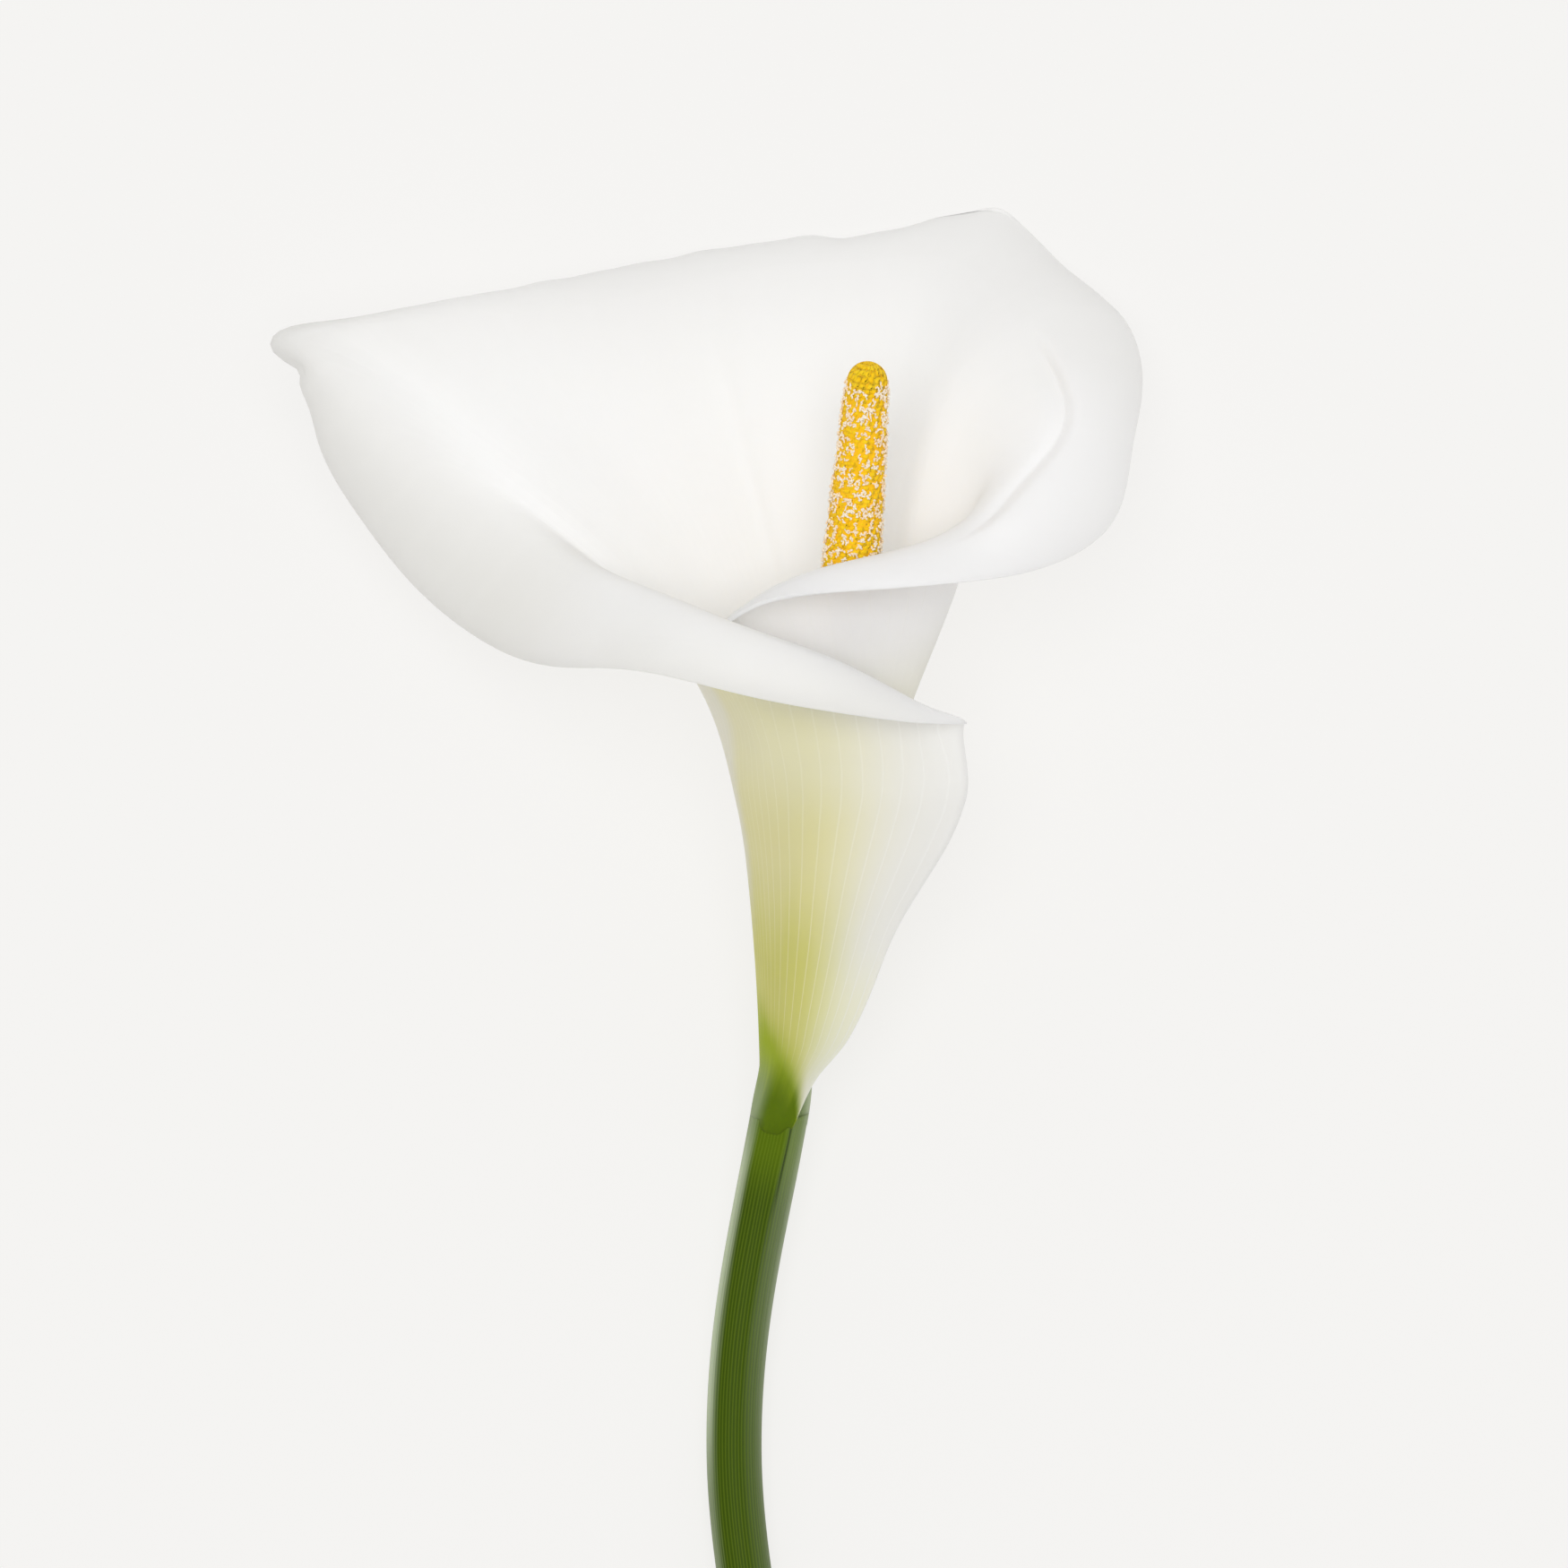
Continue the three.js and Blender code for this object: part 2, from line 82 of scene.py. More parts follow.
RIDGE_START = 0.88
RIDGE_START_EASE = 0.06
RIDGE_END = 1.005
RIDGE_END_EASE = 0.02
SMALL_STEP = 0.001
SAME_POINT = 1e-6

sideways = np.array([1.0, 0.0, 0.0])
backwards = np.array([0.0, math.sin(TUBE_PITCH), -math.cos(TUBE_PITCH)])
up_tube = np.array([0.0, math.cos(TUBE_PITCH), math.sin(TUBE_PITCH)])


def smooth(x):
    t = np.clip(x, 0, 1)
    return t * t * (3 - 2 * t)


def hump(x, middle, spread):
    return np.exp(-(((x - middle) / spread) ** 2))


def unit(v):
    return v / np.linalg.norm(v, axis=-1, keepdims=True)


def curve_through(places, values):
    """A natural cubic spline through values, which may be numbers or points."""
    places = np.asarray(places, float)
    values = np.asarray(values, float)
    step = np.diff(places)
    size = len(places)
    system = np.eye(size)
    turn = np.zeros_like(values)
    for i in range(1, size - 1):
        system[i, i - 1:i + 2] = step[i - 1], 2 * (step[i - 1] + step[i]), step[i]
        turn[i] = 6 * ((values[i + 1] - values[i]) / step[i] - (values[i] - values[i - 1]) / step[i - 1])
    bend = np.linalg.solve(system, turn)

    def curve(x):
        x = np.asarray(x, float)
        i = np.clip(np.searchsorted(places, x, side="right") - 1, 0, size - 2)
        width = step[i]
        a = (places[i + 1] - x) / width
        b = (x - places[i]) / width
        if values.ndim > 1:
            a, b, width = a[..., None], b[..., None], width[..., None]
        curved = (a**3 - a) * bend[i] + (b**3 - b) * bend[i + 1]
        return a * values[i] + b * values[i + 1] + curved * width**2 / 6

    return curve


def chain_places(points):
    """Places along a chain of points, from 0 at its start to 1 at its end."""
    reach = np.cumsum(np.linalg.norm(np.diff(np.asarray(points, float), axis=0), axis=1))
    return np.concatenate([[0.0], reach / reach[-1]])


def tube_middle(height):
    height = np.asarray(height, float)
    lean = TUBE_LEAN * height - TUBE_LEAN_FADE * height**2
    return TUBE_START + height[..., None] * up_tube + lean[..., None] * sideways


def line_frame(line, place):
    """The directions along a line, across it, and over it, away from the surface below."""
    ahead = line(np.clip(place + SMALL_STEP, 0, 1))
    behind = line(np.clip(place - SMALL_STEP, 0, 1))
    along = unit(ahead - behind)
    across = unit(np.cross([0.0, 0.0, 1.0], along))
    return along, across, np.cross(along, across)


def shaped_grid(columns, rows, place_points):
    """A grid with a UV map from 0 to 1, each corner put where place_points(u, v) says, in millimetres."""
    grid = bmesh.new()
    grid.loops.layers.uv.new("UVMap")
    bmesh.ops.create_grid(grid, x_segments=columns, y_segments=rows, size=0.5, calc_uvs=True)
    flat = np.array([vert.co[:2] for vert in grid.verts]) + 0.5
    points = place_points(flat[:, 0], flat[:, 1])
    for vert, point in zip(grid.verts, (points + FLOWER_ORIGIN) * MM):
        vert.co = point
    return grid


def finish_piece(name, mesh_maker, materials, replaced):
    """Turns a bmesh into a smooth piece that rides on the flower and stands for its CAD node."""
    mesh = bpy.data.meshes.new(name)
    mesh_maker.to_mesh(mesh)
    mesh_maker.free()
    for polygon in mesh.polygons:
        polygon.use_smooth = True
    for material in materials:
        mesh.materials.append(material)
    piece = bpy.data.objects.new(name, mesh)
    bpy.context.scene.collection.objects.link(piece)
    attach(piece, "root")
    if replaced:
        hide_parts(replaced)
    return piece


stem_line = curve_through(chain_places(STEM_LINE), STEM_LINE)
stem_thickness = curve_through([0, STEM_WAIST, 1], [STEM_TOP_RADIUS, STEM_WAIST_RADIUS, STEM_END_RADIUS])


def stem_point(u, v):
    """u goes round from the underside and back, v from the cut up to the shoulder."""
    along, across, over = line_frame(stem_line, 1 - v)
    top = smooth((v - SHOULDER_START) / (1 - SHOULDER_START))[:, None]
    across = across + top * (sideways - across)
    over = over - top * (over + backwards)
    turn = 2 * math.pi * (u - 0.25)
    width = np.where(u > RIDGE_PLACE, RIDGE_SLOPE, RIDGE_DROP)
    ridge = RIDGE_HEIGHT * hump(u, RIDGE_PLACE, width)
    fading = smooth((v - RIDGE_START) / RIDGE_START_EASE) * smooth((RIDGE_END - v) / RIDGE_END_EASE)
    radius = (stem_thickness(1 - v) + ridge * fading)[:, None]
    slant = STEM_CUT_SLANT * np.clip(1 - v * STEM_CUT_REACH, 0, 1)[:, None]
    round_it = across * np.cos(turn)[:, None] + (over + along * slant) * np.sin(turn)[:, None]
    points = stem_line(1 - v) + radius * round_it
    points[:, 2] = np.maximum(points[:, 2], -FLOWER_ORIGIN[2])
    return points


def new_material(name):
    material = bpy.data.materials.new(name)
    material.use_nodes = True
    return material, material.node_tree, material.node_tree.nodes["Principled BSDF"]


def colour(red, green, blue):
    """A colour read off as 0 to 255 on screen, as the shader wants it."""
    share = np.array([red, green, blue]) / 255
    linear = np.where(share <= 0.04045, share / 12.92, ((share + 0.055) / 1.055) ** 2.4)
    return (*linear, 1.0)


def put(tree, kind, inputs, **settings):
    """Adds a node, sets its settings and feeds its inputs."""
    node = tree.nodes.new(kind)
    for name, value in settings.items():
        setattr(node, name, value)
    feed(tree, node, inputs)
    return node


def feed(tree, node, inputs):
    """Gives each named input of a node its value, or its link."""
    for name, value in inputs.items():
        if isinstance(value, bpy.types.NodeSocket):
            tree.links.new(value, node.inputs[name])
        else:
            node.inputs[name].default_value = value


def sums(tree, operation, *values):
    node = put(tree, "ShaderNodeMath", dict(enumerate(values)), operation=operation)
    return node.outputs[0]


def product(tree, first, *others):
    for other in others:
        first = sums(tree, "MULTIPLY", first, other)
    return first


def ramp(tree, value, low, high, start=0.0, end=1.0):
    """A smooth step of a value from low to high."""
    node = put(
        tree, "ShaderNodeMapRange",
        {"Value": value, "From Min": low, "From Max": high, "To Min": start, "To Max": end},
        interpolation_type="SMOOTHSTEP",
    )
    return node.outputs["Result"]


def mixed(tree, share, first, second):
    """The first colour where the share is 0, the second where it is 1."""
    return put(tree, "ShaderNodeMix", {"Factor": share, 6: first, 7: second}, data_type="RGBA").outputs[2]


def own_places(tree):
    """The way across a piece's own map, or round it, and the way up it, both 0 to 1."""
    own_map = put(tree, "ShaderNodeUVMap", {}, uv_map="UVMap").outputs[0]
    across, up, _ = put(tree, "ShaderNodeSeparateXYZ", {"Vector": own_map}).outputs
    return across, up


def give_relief(tree, shader, height, strength, depth):
    """Lets a material's surface rise and fall with a height, its depth in millimetres."""
    bump = put(tree, "ShaderNodeBump", {"Height": height, "Strength": strength, "Distance": depth * MM})
    tree.links.new(bump.outputs[0], shader.inputs["Normal"])


def new_group(name, inputs, outputs):
    group = bpy.data.node_groups.new(name, "ShaderNodeTree")
    for label, default in inputs.items():
        socket = group.interface.new_socket(label, in_out="INPUT", socket_type="NodeSocketFloat")
        socket.default_value = default
    for label in outputs:
        group.interface.new_socket(label, in_out="OUTPUT", socket_type="NodeSocketFloat")
    return group, group.nodes.new("NodeGroupInput").outputs, group.nodes.new("NodeGroupOutput").inputs


# Lines that run along the plant's tissue, evenly but not perfectly spaced: Count of them across the
# piece's own width, each Width of the spacing wide, wandering by Wander spacings on the way. The noise
# behind it is read on a drum of radius 1, so that it shows no seam where a round piece closes.
DRUM_LENGTH = 2.5
WANDER_SCALE = 2.2
WANDER_REACH = 4.0
BROAD_SCALE = 1.5
BROAD_STRETCH = (6.0, 6.0, 0.8)
tissue_lines, given, result = new_group(
    "Tissue lines", {"Count": 40.0, "Width": 0.3, "Wander": 0.3}, ["Line", "Broad"],
)
across_piece, up_piece = own_places(tissue_lines)
turning = product(tissue_lines, across_piece, 2 * math.pi)
round_place = put(
    tissue_lines, "ShaderNodeCombineXYZ",
    {
        "X": sums(tissue_lines, "COSINE", turning),
        "Y": sums(tissue_lines, "SINE", turning),
        "Z": product(tissue_lines, up_piece, DRUM_LENGTH),
    },
).outputs[0]
wander = put(
    tissue_lines, "ShaderNodeTexNoise", {"Vector": round_place, "Scale": WANDER_SCALE, "Detail": 2.0},
).outputs[0]
even_lines = product(tissue_lines, across_piece, given["Count"])
straying = product(tissue_lines, given["Wander"], WANDER_REACH, wander)
strayed = sums(tissue_lines, "ADD", even_lines, straying)
fold = sums(tissue_lines, "PINGPONG", strayed, 0.5)
line = ramp(tissue_lines, fold, 0.0, given["Width"], 1.0, 0.0)
tissue_lines.links.new(line, result["Line"])
stretched = put(
    tissue_lines, "ShaderNodeVectorMath", {0: round_place, 1: BROAD_STRETCH}, operation="MULTIPLY",
).outputs[0]
broad = put(
    tissue_lines, "ShaderNodeTexNoise", {"Vector": stretched, "Scale": BROAD_SCALE, "Detail": 4.0},
).outputs[0]
tissue_lines.links.new(broad, result["Broad"])

# Where the stem's colours change: each starts with two places, and goes on with the shares there where
# these aren't 0 and 1. They count round the stem, from its underside and back, or along it, from the cut.
# The pale bands down the stem's sides are partly its real wax bloom and partly painted highlight, the lamp's
# reflection on the wax, brightest in the thin line along its left edge.
WAX_HIGHLIGHT_FRONT = (0.47, 0.4, 0.0, 0.2)
WAX_HIGHLIGHT_SIDE = (0.39, 0.28, 0.0, 0.48)
WAX_HIGHLIGHT_RIGHT_ALONG = (0.55, 0.95, 0.35, 0.85)
WAX_HIGHLIGHT_LEFT = (0.6, 0.7)
WAX_HIGHLIGHT_LEFT_ALONG = (0.6, 0.72, 0.4, 1.0)
WAX_HIGHLIGHT_LEFT_TOP = (0.93, 1.0, 1.0, 0.45)
TOP_GREEN_ALONG = (0.9, 0.975)
# A dark strip just right of the ridge: painted shadow below the sheath's raised edge.
RIDGE_SHADOW_RIGHT = (RIDGE_PLACE - 0.03, RIDGE_PLACE - 0.009)
RIDGE_SHADOW_LEFT = (RIDGE_PLACE + 0.002, RIDGE_PLACE - 0.005)
RIDGE_SHADOW_ALONG = (0.89, 0.95, 0.0, 0.85)
WAX_HIGHLIGHT_WANDER = 0.06
WAX_HIGHLIGHT_STREAKS = 0.008
STEM_LINE_SHARE = 0.35
STEM_GREEN = colour(57, 79, 1)
STEM_LINE_GREEN = colour(112, 134, 30)
STEM_WAX_AND_HIGHLIGHT = colour(190, 202, 170)
STEM_TOP_GREEN = colour(84, 108, 3)
RIDGE_SHADOW_GREEN = colour(38, 58, 8)
stem_skin, tree, shader = new_material("stem skin")
lines = put(tree, "ShaderNodeGroup", {"Count": 52.0, "Width": 0.4, "Wander": 0.2}, node_tree=tissue_lines)
around, along_stem = own_places(tree)
middle = sums(tree, "SUBTRACT", around, WAX_HIGHLIGHT_WANDER / 2)
strayed = sums(tree, "MULTIPLY_ADD", lines.outputs["Broad"], WAX_HIGHLIGHT_WANDER, middle)
strayed = sums(tree, "MULTIPLY_ADD", lines.outputs["Line"], WAX_HIGHLIGHT_STREAKS, strayed)
# Painted highlight together with the real wax bloom, across the right half and along the left edge.
wax_and_highlight_right = sums(tree, "ADD", ramp(tree, strayed, *WAX_HIGHLIGHT_FRONT), ramp(tree, strayed, *WAX_HIGHLIGHT_SIDE))
wax_and_highlight_right = product(tree, wax_and_highlight_right, ramp(tree, along_stem, *WAX_HIGHLIGHT_RIGHT_ALONG))
wax_and_highlight_left = product(
    tree, ramp(tree, strayed, *WAX_HIGHLIGHT_LEFT), ramp(tree, along_stem, *WAX_HIGHLIGHT_LEFT_ALONG),
    ramp(tree, along_stem, *WAX_HIGHLIGHT_LEFT_TOP),
)
wax_and_highlight = sums(tree, "MAXIMUM", wax_and_highlight_right, wax_and_highlight_left)
skin_colour = mixed(tree, ramp(tree, along_stem, *TOP_GREEN_ALONG), STEM_GREEN, STEM_TOP_GREEN)
line_share = product(tree, lines.outputs["Line"], STEM_LINE_SHARE)
skin_colour = mixed(tree, line_share, skin_colour, STEM_LINE_GREEN)
skin_colour = mixed(tree, wax_and_highlight, skin_colour, STEM_WAX_AND_HIGHLIGHT)
# Painted shadow beside the ridge.
ridge_shadow = product(
    tree, ramp(tree, around, *RIDGE_SHADOW_RIGHT), ramp(tree, around, *RIDGE_SHADOW_LEFT),
    ramp(tree, along_stem, *RIDGE_SHADOW_ALONG),
)
skin_colour = mixed(tree, ridge_shadow, skin_colour, RIDGE_SHADOW_GREEN)
feed(tree, shader, {
    "Base Color": skin_colour, "Roughness": 0.5, "Specular IOR Level": 0.09,
    "Subsurface Weight": 0.1, "Subsurface Radius": (0.6, 1.0, 0.2), "Subsurface Scale": MM,
})
give_relief(tree, shader, lines.outputs["Line"], strength=0.25, depth=0.1)

# The cut face shows pale flesh, mottled, with the dark dots of the cut strands in it.
STRANDS = (0.12, 0.3, 0.55, 0.0)
FLESH_MOTTLING = (0.35, 0.65)
FLESH_GREEN = colour(196, 208, 140)
FLESH_PALE = colour(222, 228, 178)
STRAND_GREEN = colour(120, 142, 62)
stem_cut, tree, shader = new_material("stem cut face")
here = put(tree, "ShaderNodeTexCoord", {}).outputs["Object"]
strands = put(tree, "ShaderNodeTexVoronoi", {"Vector": here, "Scale": 1100.0}).outputs["Distance"]
flesh = put(tree, "ShaderNodeTexNoise", {"Vector": here, "Scale": 700.0, "Detail": 5.0}).outputs[0]
cut_colour = mixed(tree, ramp(tree, flesh, *FLESH_MOTTLING), FLESH_GREEN, FLESH_PALE)
cut_colour = mixed(tree, ramp(tree, strands, *STRANDS), cut_colour, STRAND_GREEN)
feed(tree, shader, {"Base Color": cut_colour, "Roughness": 0.35})
give_relief(tree, shader, strands, strength=0.3, depth=0.2)

stem_mesh = shaped_grid(STEM_COLUMNS, STEM_ROWS, stem_point)
bmesh.ops.remove_doubles(stem_mesh, verts=stem_mesh.verts, dist=SAME_POINT)
open_edges = [edge for edge in stem_mesh.edges if edge.is_boundary]
caps = bmesh.ops.holes_fill(stem_mesh, edges=open_edges, sides=0)["faces"]
caps.sort(key=lambda face: face.calc_center_median().y)
cut_face, shoulder_face = caps
cut_face.material_index = 1
bmesh.ops.inset_individual(stem_mesh, faces=[cut_face], thickness=CUT_RIM * MM)
for ring in stem_mesh.faces[-STEM_COLUMNS:]:
    ring.material_index = 0
bmesh.ops.inset_individual(stem_mesh, faces=[cut_face], thickness=CUT_INSET * MM, depth=-CUT_DEPTH * MM)
bmesh.ops.inset_individual(stem_mesh, faces=[shoulder_face], thickness=(STEM_TOP_RADIUS - SEAT_RADIUS) * MM)
seat = bmesh.ops.extrude_face_region(stem_mesh, geom=[shoulder_face])["geom"]
seat_rise = (tube_middle(SEAT_TOP) - tube_middle(TUBE_FOOT - SHOULDER_GAP)) * MM
seat_verts = [part for part in seat if isinstance(part, bmesh.types.BMVert)]
bmesh.ops.translate(stem_mesh, verts=seat_verts, vec=seat_rise)
bmesh.ops.recalc_face_normals(stem_mesh, faces=stem_mesh.faces)
finish_piece("flower_stem", stem_mesh, [stem_skin, stem_cut], "stem")

# The spathe: one white leaf, a little over half a millimetre thick at its margin, that grows from
# the stem's top. It is rolled into a funnel, its outer margin lapping over the inner one at the front,
# and its mouth turns outward in a soft roll with a curled tip at the left.
SHEET_MIDDLE = 0.95
SHEET_MARGIN_SHARE = 0.65
SHEET_EDGE_SHARE = 0.3
SIDE_MARGIN_EASE = 8
END_MARGIN_EASE = 3
SPATHE_COLUMNS = 300
SPATHE_ROWS = 160
TUBE_THROAT = 42
TUBE_RADIUS = 3.5
TUBE_TAPER = 0.147
TUBE_FLARE = 0.005
FLARE_START = 30
FOOT_WIDENING = 0.3
FOOT_SHEATH = 3
FOOT_SHEATH_RADIUS = 3.8
FOOT_POINT_TURN = 12
FOOT_OUTER_ANGLE = 302
FOOT_INNER_ANGLE = -72
FOOT_LENGTH = 11.5
FOOT_EASE = 1.6
FOOT_SWELL = 0.45
FOOT_SWELL_EASE = 3
OUTER_LAP_START = 225
OUTER_LAP_SWELL = 0.06
OUTER_LAP_EASE = 2.5
INNER_TUCK_START = -5
INNER_TUCK_SPAN = 100
INNER_TUCK = 0.85
INNER_TUCK_EASE = 1.4
FLAP_HEIGHTS = [-6.5, -4, 0, 5, 13, 22, 31, 38, 43]
FLAP_REACH = [0.3, 0.8, 2.4, 4.2, 5.8, 7.2, 10.4, 12.5, 12.8]
# The mouth, station by station round the rim from the outer corner to the inner end: the angle
# where the rib leaves the tube, the crest of the roll, the way the sheet runs there (its aim seen
# from above and its rise), and the free edge beyond the roll.
RIM = [
    (335, (24.9, 8.4, 26), 80, 25, (25.2, 8.3, 26.7)),
    (318, (17.4, 11.5, 31), -50, 60, (18.6, 8.4, 33)),
    (295, (7.5, 16.4, 36), -80, 70, (6.9, 9.9, 39)),
    (268, (-1.9, 19.8, 37), -100, 70, (-4.4, 12, 40)),
    (242, (-11.2, 23.1, 34.5), -115, 62, (-16.2, 14.9, 36.5)),
    (220, (-20, 26.9, 27.5), -125, 40, (-26.4, 16.2, 24)),
    (200, (-30, 31.2, 19.5), -128, 22, (-37.7, 18.1, 8.5)),
    (183, (-40.6, 37.2, 14), -130, 8, (-49.8, 26.1, 2)),
    (169, (-50.6, 45, 12.5), -135, 4, (-58.7, 36.9, 0.5)),
    (158, (-58.6, 53.1, 13.5), -145, 4, (-64.2, 48.1, 2.5)),
    (150, (-63.6, 59, 14.5), -155, 6, (-66.6, 56, 6.5)),
    (144, (-66.9, 62, 15.5), -180, 5, (-70.8, 61.9, 9.5)),
    (139, (-63.8, 63, 16), -215, 5, (-65.6, 63.6, 13)),
    (132, (-52.5, 64.3, 13.5), -238, 0, (-53.1, 65.6, 10)),
    (122, (-39.4, 65.3, 9), -250, -10, (-39.4, 67.3, 1)),
    (110, (-25.6, 66.8, 4), -262, -25, (-26.2, 69.8, -9.5)),
    (97, (-11.9, 70.2, -1.5), -268, -35, (-12.5, 73.9, -13.6)),
    (82, (1.2, 72.5, -4), -270, -35, (1.9, 76.7, -11.5)),
    (67, (13.8, 73.3, -4), -278, -35, (16.9, 78.1, -11.8)),
    (54, (23.1, 73.1, -3), -300, -35, (30, 81, -13.6)),
    (43, (28.8, 68.9, 3), -320, -25, (38.4, 73.5, -9)),
    (30, (32.5, 63.1, 10), -335, -10, (47.5, 65.2, -2)),
    (18, (34.6, 55.6, 15), -342, 5, (50, 56.2, 4)),
    (5, (34.4, 47.5, 20), -345, 15, (48.4, 46.9, 12)),
    (-10, (31.1, 40.9, 25), -355, 30, (45.6, 36.5, 20)),
    (-27, (25.9, 35.1, 30), -385, 45, (35.6, 29.9, 29)),
    (-45, (15.4, 31, 34), -420, 55, (21.9, 27.5, 37)),
    (-65, (5, 28.8, 33), -445, 60, (7.5, 26.4, 36)),
    (-88, (-3.1, 25.6, 30), -470, 55, (-3.1, 24.9, 32)),
    (-108, (-8.4, 22.1, 26), -480, 50, (-8.6, 21.9, 27)),
]
TIP_STATION = 11
TIP_REACH = 0.17
THROAT_PULL = 1.15
CREST_PULL = 0.9
TIP_PULL_LOSS = 0.75
SHARPEST_LEAN = -0.7
RIGHT_SWELL = 3.4
RIGHT_SWELL_LATENESS = 1.15
RIGHT_SWELL_ANGLE = -10
RIGHT_SWELL_SPREAD = 32
LEFT_TUCK = 2.9
LEFT_TUCK_ANGLE = 200
LEFT_TUCK_SPREAD = 35
LEFT_TUCK_ONSET = 0.25
LEFT_TUCK_FADE = 0.35
LEFT_TUCK_END = 0.6
# Finer form: a crease that bows down the right roll with a soft lobe outside it, one proud rib, a pleat,
# a small notch under the tip and ripples along the back margin.
CREASE_DROP = 1.1
CREASE_WIDTH = 0.09
CREASE_PLACE = 0.07
CREASE_BOW = 0.165
CREASE_BOW_ANGLE = 8
CREASE_BOW_SPREAD = 13
LOBE_RISE = 1.7
LOBE_LOW_ANGLE = -34
LOBE_LOW_EASE = 16
LOBE_HIGH_ANGLE = 30
LOBE_HIGH_EASE = 12
LOBE_END = 0.95
RIB_RELIEF = 0.3
RIB_ANGLE = 96
RIB_SPREAD = 1.3
PLEAT_RELIEF = -0.4
PLEAT_ANGLE = 42
PLEAT_SPREAD = 6
RELIEF_ONSET = 0.4
RELIEF_FADE = 0.2
NOTCH_DEPTH = 1.8
NOTCH_PLACE = 0.3625
NOTCH_SPREAD = 0.0045
NOTCH_ONSET = 0.5
RIPPLE_DEPTH = 0.2
RIPPLES = 27
FINE_RIPPLES = 43
FINE_RIPPLE_SHARE = 0.7
RIPPLE_LOW_ANGLE = 25
RIPPLE_LOW_EASE = 30
RIPPLE_HIGH_ANGLE = 135
RIPPLE_HIGH_EASE = 12
# How many rounds of smoothing each soft place gets, with the middle and spread of the place across the
# sheet and up it: round the throat, over the left limb and in the fold between the two.
THROAT_ROUNDS = 19
THROAT_UP = (1, 0.22)
LIMB_ROUNDS = 80
LIMB_ACROSS = (0.3, 0.1)
LIMB_UP = (1.75, 0.3)
FOLD_ROUNDS = 210
FOLD_ACROSS = (0.22, 0.07)
FOLD_UP = (1.85, 0.32)
ROUND_STRENGTH = 0.9

rib_angles, crests, aims, rises, edges = (np.array(column, float) for column in zip(*RIM))
rim_places = chain_places((crests + edges) / 2)
rib_angle = curve_through(rim_places, rib_angles)
crest_aim = curve_through(rim_places, aims)
crest_rise = curve_through(rim_places, rises)
crest_point = curve_through(rim_places, crests)
edge_point = curve_through(rim_places, edges)
flap_reach = curve_through(FLAP_HEIGHTS, FLAP_REACH)
tip_place = rim_places[TIP_STATION]
outer_angle, inner_angle = rib_angles[0], rib_angles[-1]


def blend(start, start_pull, end, end_pull, w):
    w = w[:, None]
    return (
        (2 * w**3 - 3 * w**2 + 1) * start + (w**3 - 2 * w**2 + w) * start_pull
        + (3 * w**2 - 2 * w**3) * end + (w**3 - w**2) * end_pull
    )


def tube_point(u, height):
    """The sheet round the tube: u runs from the outer margin to the inner one."""
    top_angle = rib_angle(u)
    share = (top_angle - inner_angle) / (outer_angle - inner_angle)
    point_turn = FOOT_POINT_TURN * smooth((TUBE_FOOT - height) / FOOT_SHEATH)
    foot_angle = FOOT_INNER_ANGLE + (FOOT_OUTER_ANGLE - point_turn - FOOT_INNER_ANGLE) * share
    up = 1 - (1 - np.clip((height - TUBE_FOOT) / FOOT_LENGTH, 0, 1)) ** FOOT_EASE
    angle = foot_angle + (top_angle - foot_angle) * up
    plain = TUBE_RADIUS + TUBE_TAPER * np.maximum(height, 0)
    plain = plain + TUBE_FLARE * np.maximum(height - FLARE_START, 0) ** 2
    plain = plain + FOOT_WIDENING * smooth(height / TUBE_FOOT)
    outer = np.maximum((angle - OUTER_LAP_START) / (outer_angle - OUTER_LAP_START), 0)
    inner = np.maximum((INNER_TUCK_START - angle) / INNER_TUCK_SPAN, 0)
    lap = OUTER_LAP_SWELL * plain * smooth(OUTER_LAP_EASE * outer) * up
    lap = lap + flap_reach(np.maximum(height, TUBE_FOOT)) * outer**3
    foot = FOOT_SWELL * smooth(FOOT_SWELL_EASE * outer) * (1 - up)
    sheath = smooth((TUBE_FOOT - height) / FOOT_SHEATH)
    radius = (plain + lap + foot) * (1 - sheath) + FOOT_SHEATH_RADIUS * sheath
    radius = radius - INNER_TUCK * smooth(INNER_TUCK_EASE * inner)
    turn = np.radians(angle)
    across = (radius * np.cos(turn))[:, None] * sideways
    back = (radius * np.sin(turn))[:, None] * backwards
    return tube_middle(height) + across + back


def crest_direction(u):
    aim, rise = np.radians(crest_aim(u)), np.radians(crest_rise(u))
    return np.stack([np.cos(aim) * np.cos(rise), np.sin(aim) * np.cos(rise), np.sin(rise)], axis=-1)


